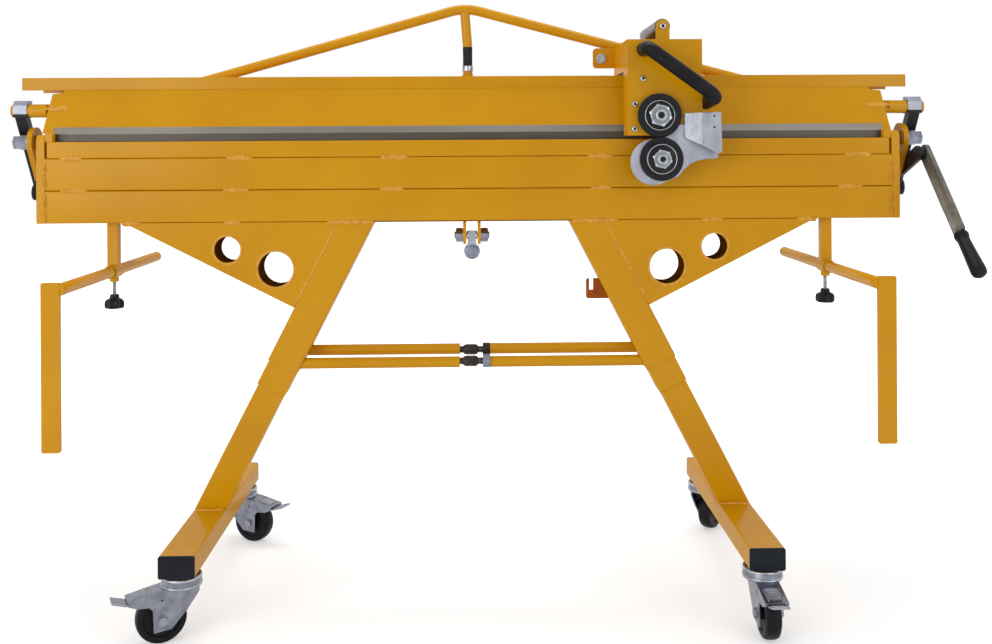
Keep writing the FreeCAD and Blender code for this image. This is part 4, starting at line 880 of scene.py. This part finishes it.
def pedal_ribs():
    """The ribs across the rising tread of a pedal."""
    ribs = []
    for x in RIB_XS:
        z = TREAD_Z + (x - TREAD_X) * TREAD_RISE / TREAD_RUN
        ribs.append(cross_bead(x, z, RIB_HALF, PEDAL_OUT, RIB))
    return ribs


def caster(key):
    """Tyre, crown rim and collar, fork fittings, pin holes in painted shade and pedal ribs of one
    caster.

    A point drawn with +X as the trail turns about Z until the wheel's axle, drawn along Y, lies
    on the record's roll axis. Then it moves to the swivel axis.
    """
    post = np.array(JOINTS["swivel_" + key]["pos_m"]) * (1.0, 1.0, 0.0)
    axis = JOINTS["roll_" + key]["axis"]
    c, s = axis[1], -axis[0]
    spin = np.array([[c, s, 0.0], [-s, c, 0.0], [0.0, 0.0, 1.0]])

    def place(name, bits, material, body, slot, **more):
        """Turns, moves and joins the bits of one piece of this caster."""
        placed = [(np.asarray(bit) @ spin) * MM + post for bit in bits]
        grid_piece(name + key, placed, material, body + key, slot, **more)

    tyre = turned((TRAIL, 0, WHEEL_R), BACK, TYRE, ROUND_STEPS)
    crown = [turned((0, 0, 0), UP, torus_rings(*sizes), ROUND_STEPS)
             for sizes in (CROWN_RIM, CROWN_COLLAR)]
    holes = [turned((PIN_X, side * FORK_HALF, PIN_Z), (0, side, 0), PIN_HOLE)
             for side in MIRRORED]
    place("tyre_", [tyre], RUBBER, "wheel_", "black_rubber", replaced=("caster_wheel_" + key,))
    place("caster_trim_", crown, ZINC, "fork_", "zinc", smooth=30.0)
    place("fork_fittings_", fork_fittings(), SHEET, "fork_", "zinc", smooth=30.0)
    # Dark discs over the pin holes: painted shade
    place("pin_hole_shade_", holes, BLACK_STEEL, "fork_", "black_paint")
    place("pedal_ribs_", pedal_ribs(), SHEET, "pedal_", "zinc")


for key in CORNERS:
    caster(key)

# Stage and light: distances in metres, and glows that render the surroundings as plain white
FLOOR_HALF = 14.0
FADE = (1.2, 2.6)
FLOOR_GLOW = (0.42, 1.0)
WORLD_POWER = 0.5
WHITE = (1.0, 1.0, 1.0, 1.0)
# Name, place, aim, size and watts of each lamp
LAMPS = (
    ("key", (-3.0, -3.6, 1.8), (0.0, 0.0, 0.9), (3.0, 2.4), 66.0),
    ("fill", (3.0, -3.0, 2.0), (0.0, 0.0, 0.8), (2.0, 2.0), 24.0),
    ("top", (0.0, 0.6, 3.6), (0.0, 0.0, 1.0), (3.0, 1.5), 45.0),
)
# Camera fitted to the photograph: sizes and lens axis in its pixels, angles in degrees
PHOTO_WIDE = 992.0
PHOTO_HIGH = 644.0
FOCAL_PX = 1078.0
AXIS_PX = (495.6, 147.0)
SENSOR_MM = 36.0
CLIP_END = 60.0
EYE_PLACE = (3.9, -2662.0, -18.0)
EYE_LEVEL = 90.0
EYE_TURN = -1.2
EYE_ROLL = -0.33


def seen_rays(tree):
    """One for rays from the camera, in reflections and through glass, else nothing."""
    path = add(tree, "ShaderNodeLightPath").outputs
    seen = add(tree, "ShaderNodeMath", {"operation": "MAXIMUM"},
               {0: path["Is Camera Ray"], 1: path["Is Glossy Ray"]}).outputs[0]
    return add(tree, "ShaderNodeMath", {"operation": "MAXIMUM"},
               {0: seen, 1: path["Is Transmission Ray"]}).outputs[0]


def stage_material():
    """Matt white paper: the camera sees it lifted to white, more so far out, but for the shadow."""
    material = bpy.data.materials.new("white paper backdrop")
    tree = empty_tree(material)
    paper = add(tree, "ShaderNodeBsdfDiffuse", {"Color": srgb("#e8e8e8")})
    place = add(tree, "ShaderNodeTexCoord").outputs["Object"]
    far = add(tree, "ShaderNodeVectorMath", {"operation": "LENGTH"}, {0: place}).outputs["Value"]
    lift = add(tree, "ShaderNodeMapRange",
               {"From Min": FADE[0], "From Max": FADE[1], "To Min": FLOOR_GLOW[0],
                "To Max": FLOOR_GLOW[1]}, {"Value": far}).outputs["Result"]
    power = add(tree, "ShaderNodeMath", {"operation": "MULTIPLY"},
                {0: seen_rays(tree), 1: lift}).outputs[0]
    glow = add(tree, "ShaderNodeEmission", {"Color": WHITE}, {"Strength": power})
    both = add(tree, "ShaderNodeAddShader", None, {0: paper.outputs[0], 1: glow.outputs[0]})
    add(tree, "ShaderNodeOutputMaterial", None, {"Surface": both.outputs[0]})
    return material


def stage():
    """A floor plane far wider than the object."""
    size = FLOOR_HALF
    mesh = bpy.data.meshes.new("floor")
    mesh.from_pydata([(-size, -size, 0), (size, -size, 0), (size, size, 0), (-size, size, 0)], [],
                     [(0, 1, 2, 3)])
    shown("floor", mesh, stage_material())


def world():
    """Plain white surroundings: white to the camera and in reflections, softer as light."""
    studio = bpy.data.worlds.new("studio")
    bpy.context.scene.world = studio
    tree = empty_tree(studio)
    power = add(tree, "ShaderNodeMapRange",
                {"From Min": 0.0, "From Max": 1.0, "To Min": WORLD_POWER, "To Max": 1.0},
                {"Value": seen_rays(tree)}).outputs["Result"]
    back = add(tree, "ShaderNodeBackground", {"Color": WHITE}, {"Strength": power})
    add(tree, "ShaderNodeOutputWorld", None, {"Surface": back.outputs[0]})


def area_light(name, place, target, size, power):
    """A large soft lamp aimed at a point."""
    data = bpy.data.lights.new(name, "AREA")
    data.shape = "RECTANGLE"
    data.size, data.size_y = size
    data.energy = power
    lamp = shown(name, data)
    lamp.location = place
    lamp.rotation_euler = (Vector(target) - Vector(place)).to_track_quat("-Z", "Y").to_euler()


def camera():
    """The photograph's viewpoint: level with the bed, 2.7 m in front of it, kept by lens shift."""
    data = bpy.data.cameras.new("camera")
    data.sensor_width = SENSOR_MM
    data.lens = FOCAL_PX / PHOTO_WIDE * SENSOR_MM
    data.shift_x = (PHOTO_WIDE / 2.0 - AXIS_PX[0]) / PHOTO_WIDE
    data.shift_y = (AXIS_PX[1] - PHOTO_HIGH / 2.0) / PHOTO_WIDE
    data.clip_end = CLIP_END
    turn = (Matrix.Rotation(math.radians(EYE_TURN), 4, "Z")
            @ Matrix.Rotation(math.radians(EYE_LEVEL), 4, "X"))
    roll = Matrix.Rotation(math.radians(EYE_ROLL), 4, "Z")
    spot = Vector(bed_place(EYE_PLACE).tolist())
    eye = shown("camera", data)
    eye.matrix_world = Matrix.Translation(spot) @ turn @ roll
    bpy.context.scene.camera = eye


stage()
world()
for lamp in LAMPS:
    area_light(*lamp)
camera()

bpy.context.scene.view_settings.view_transform = "Standard"
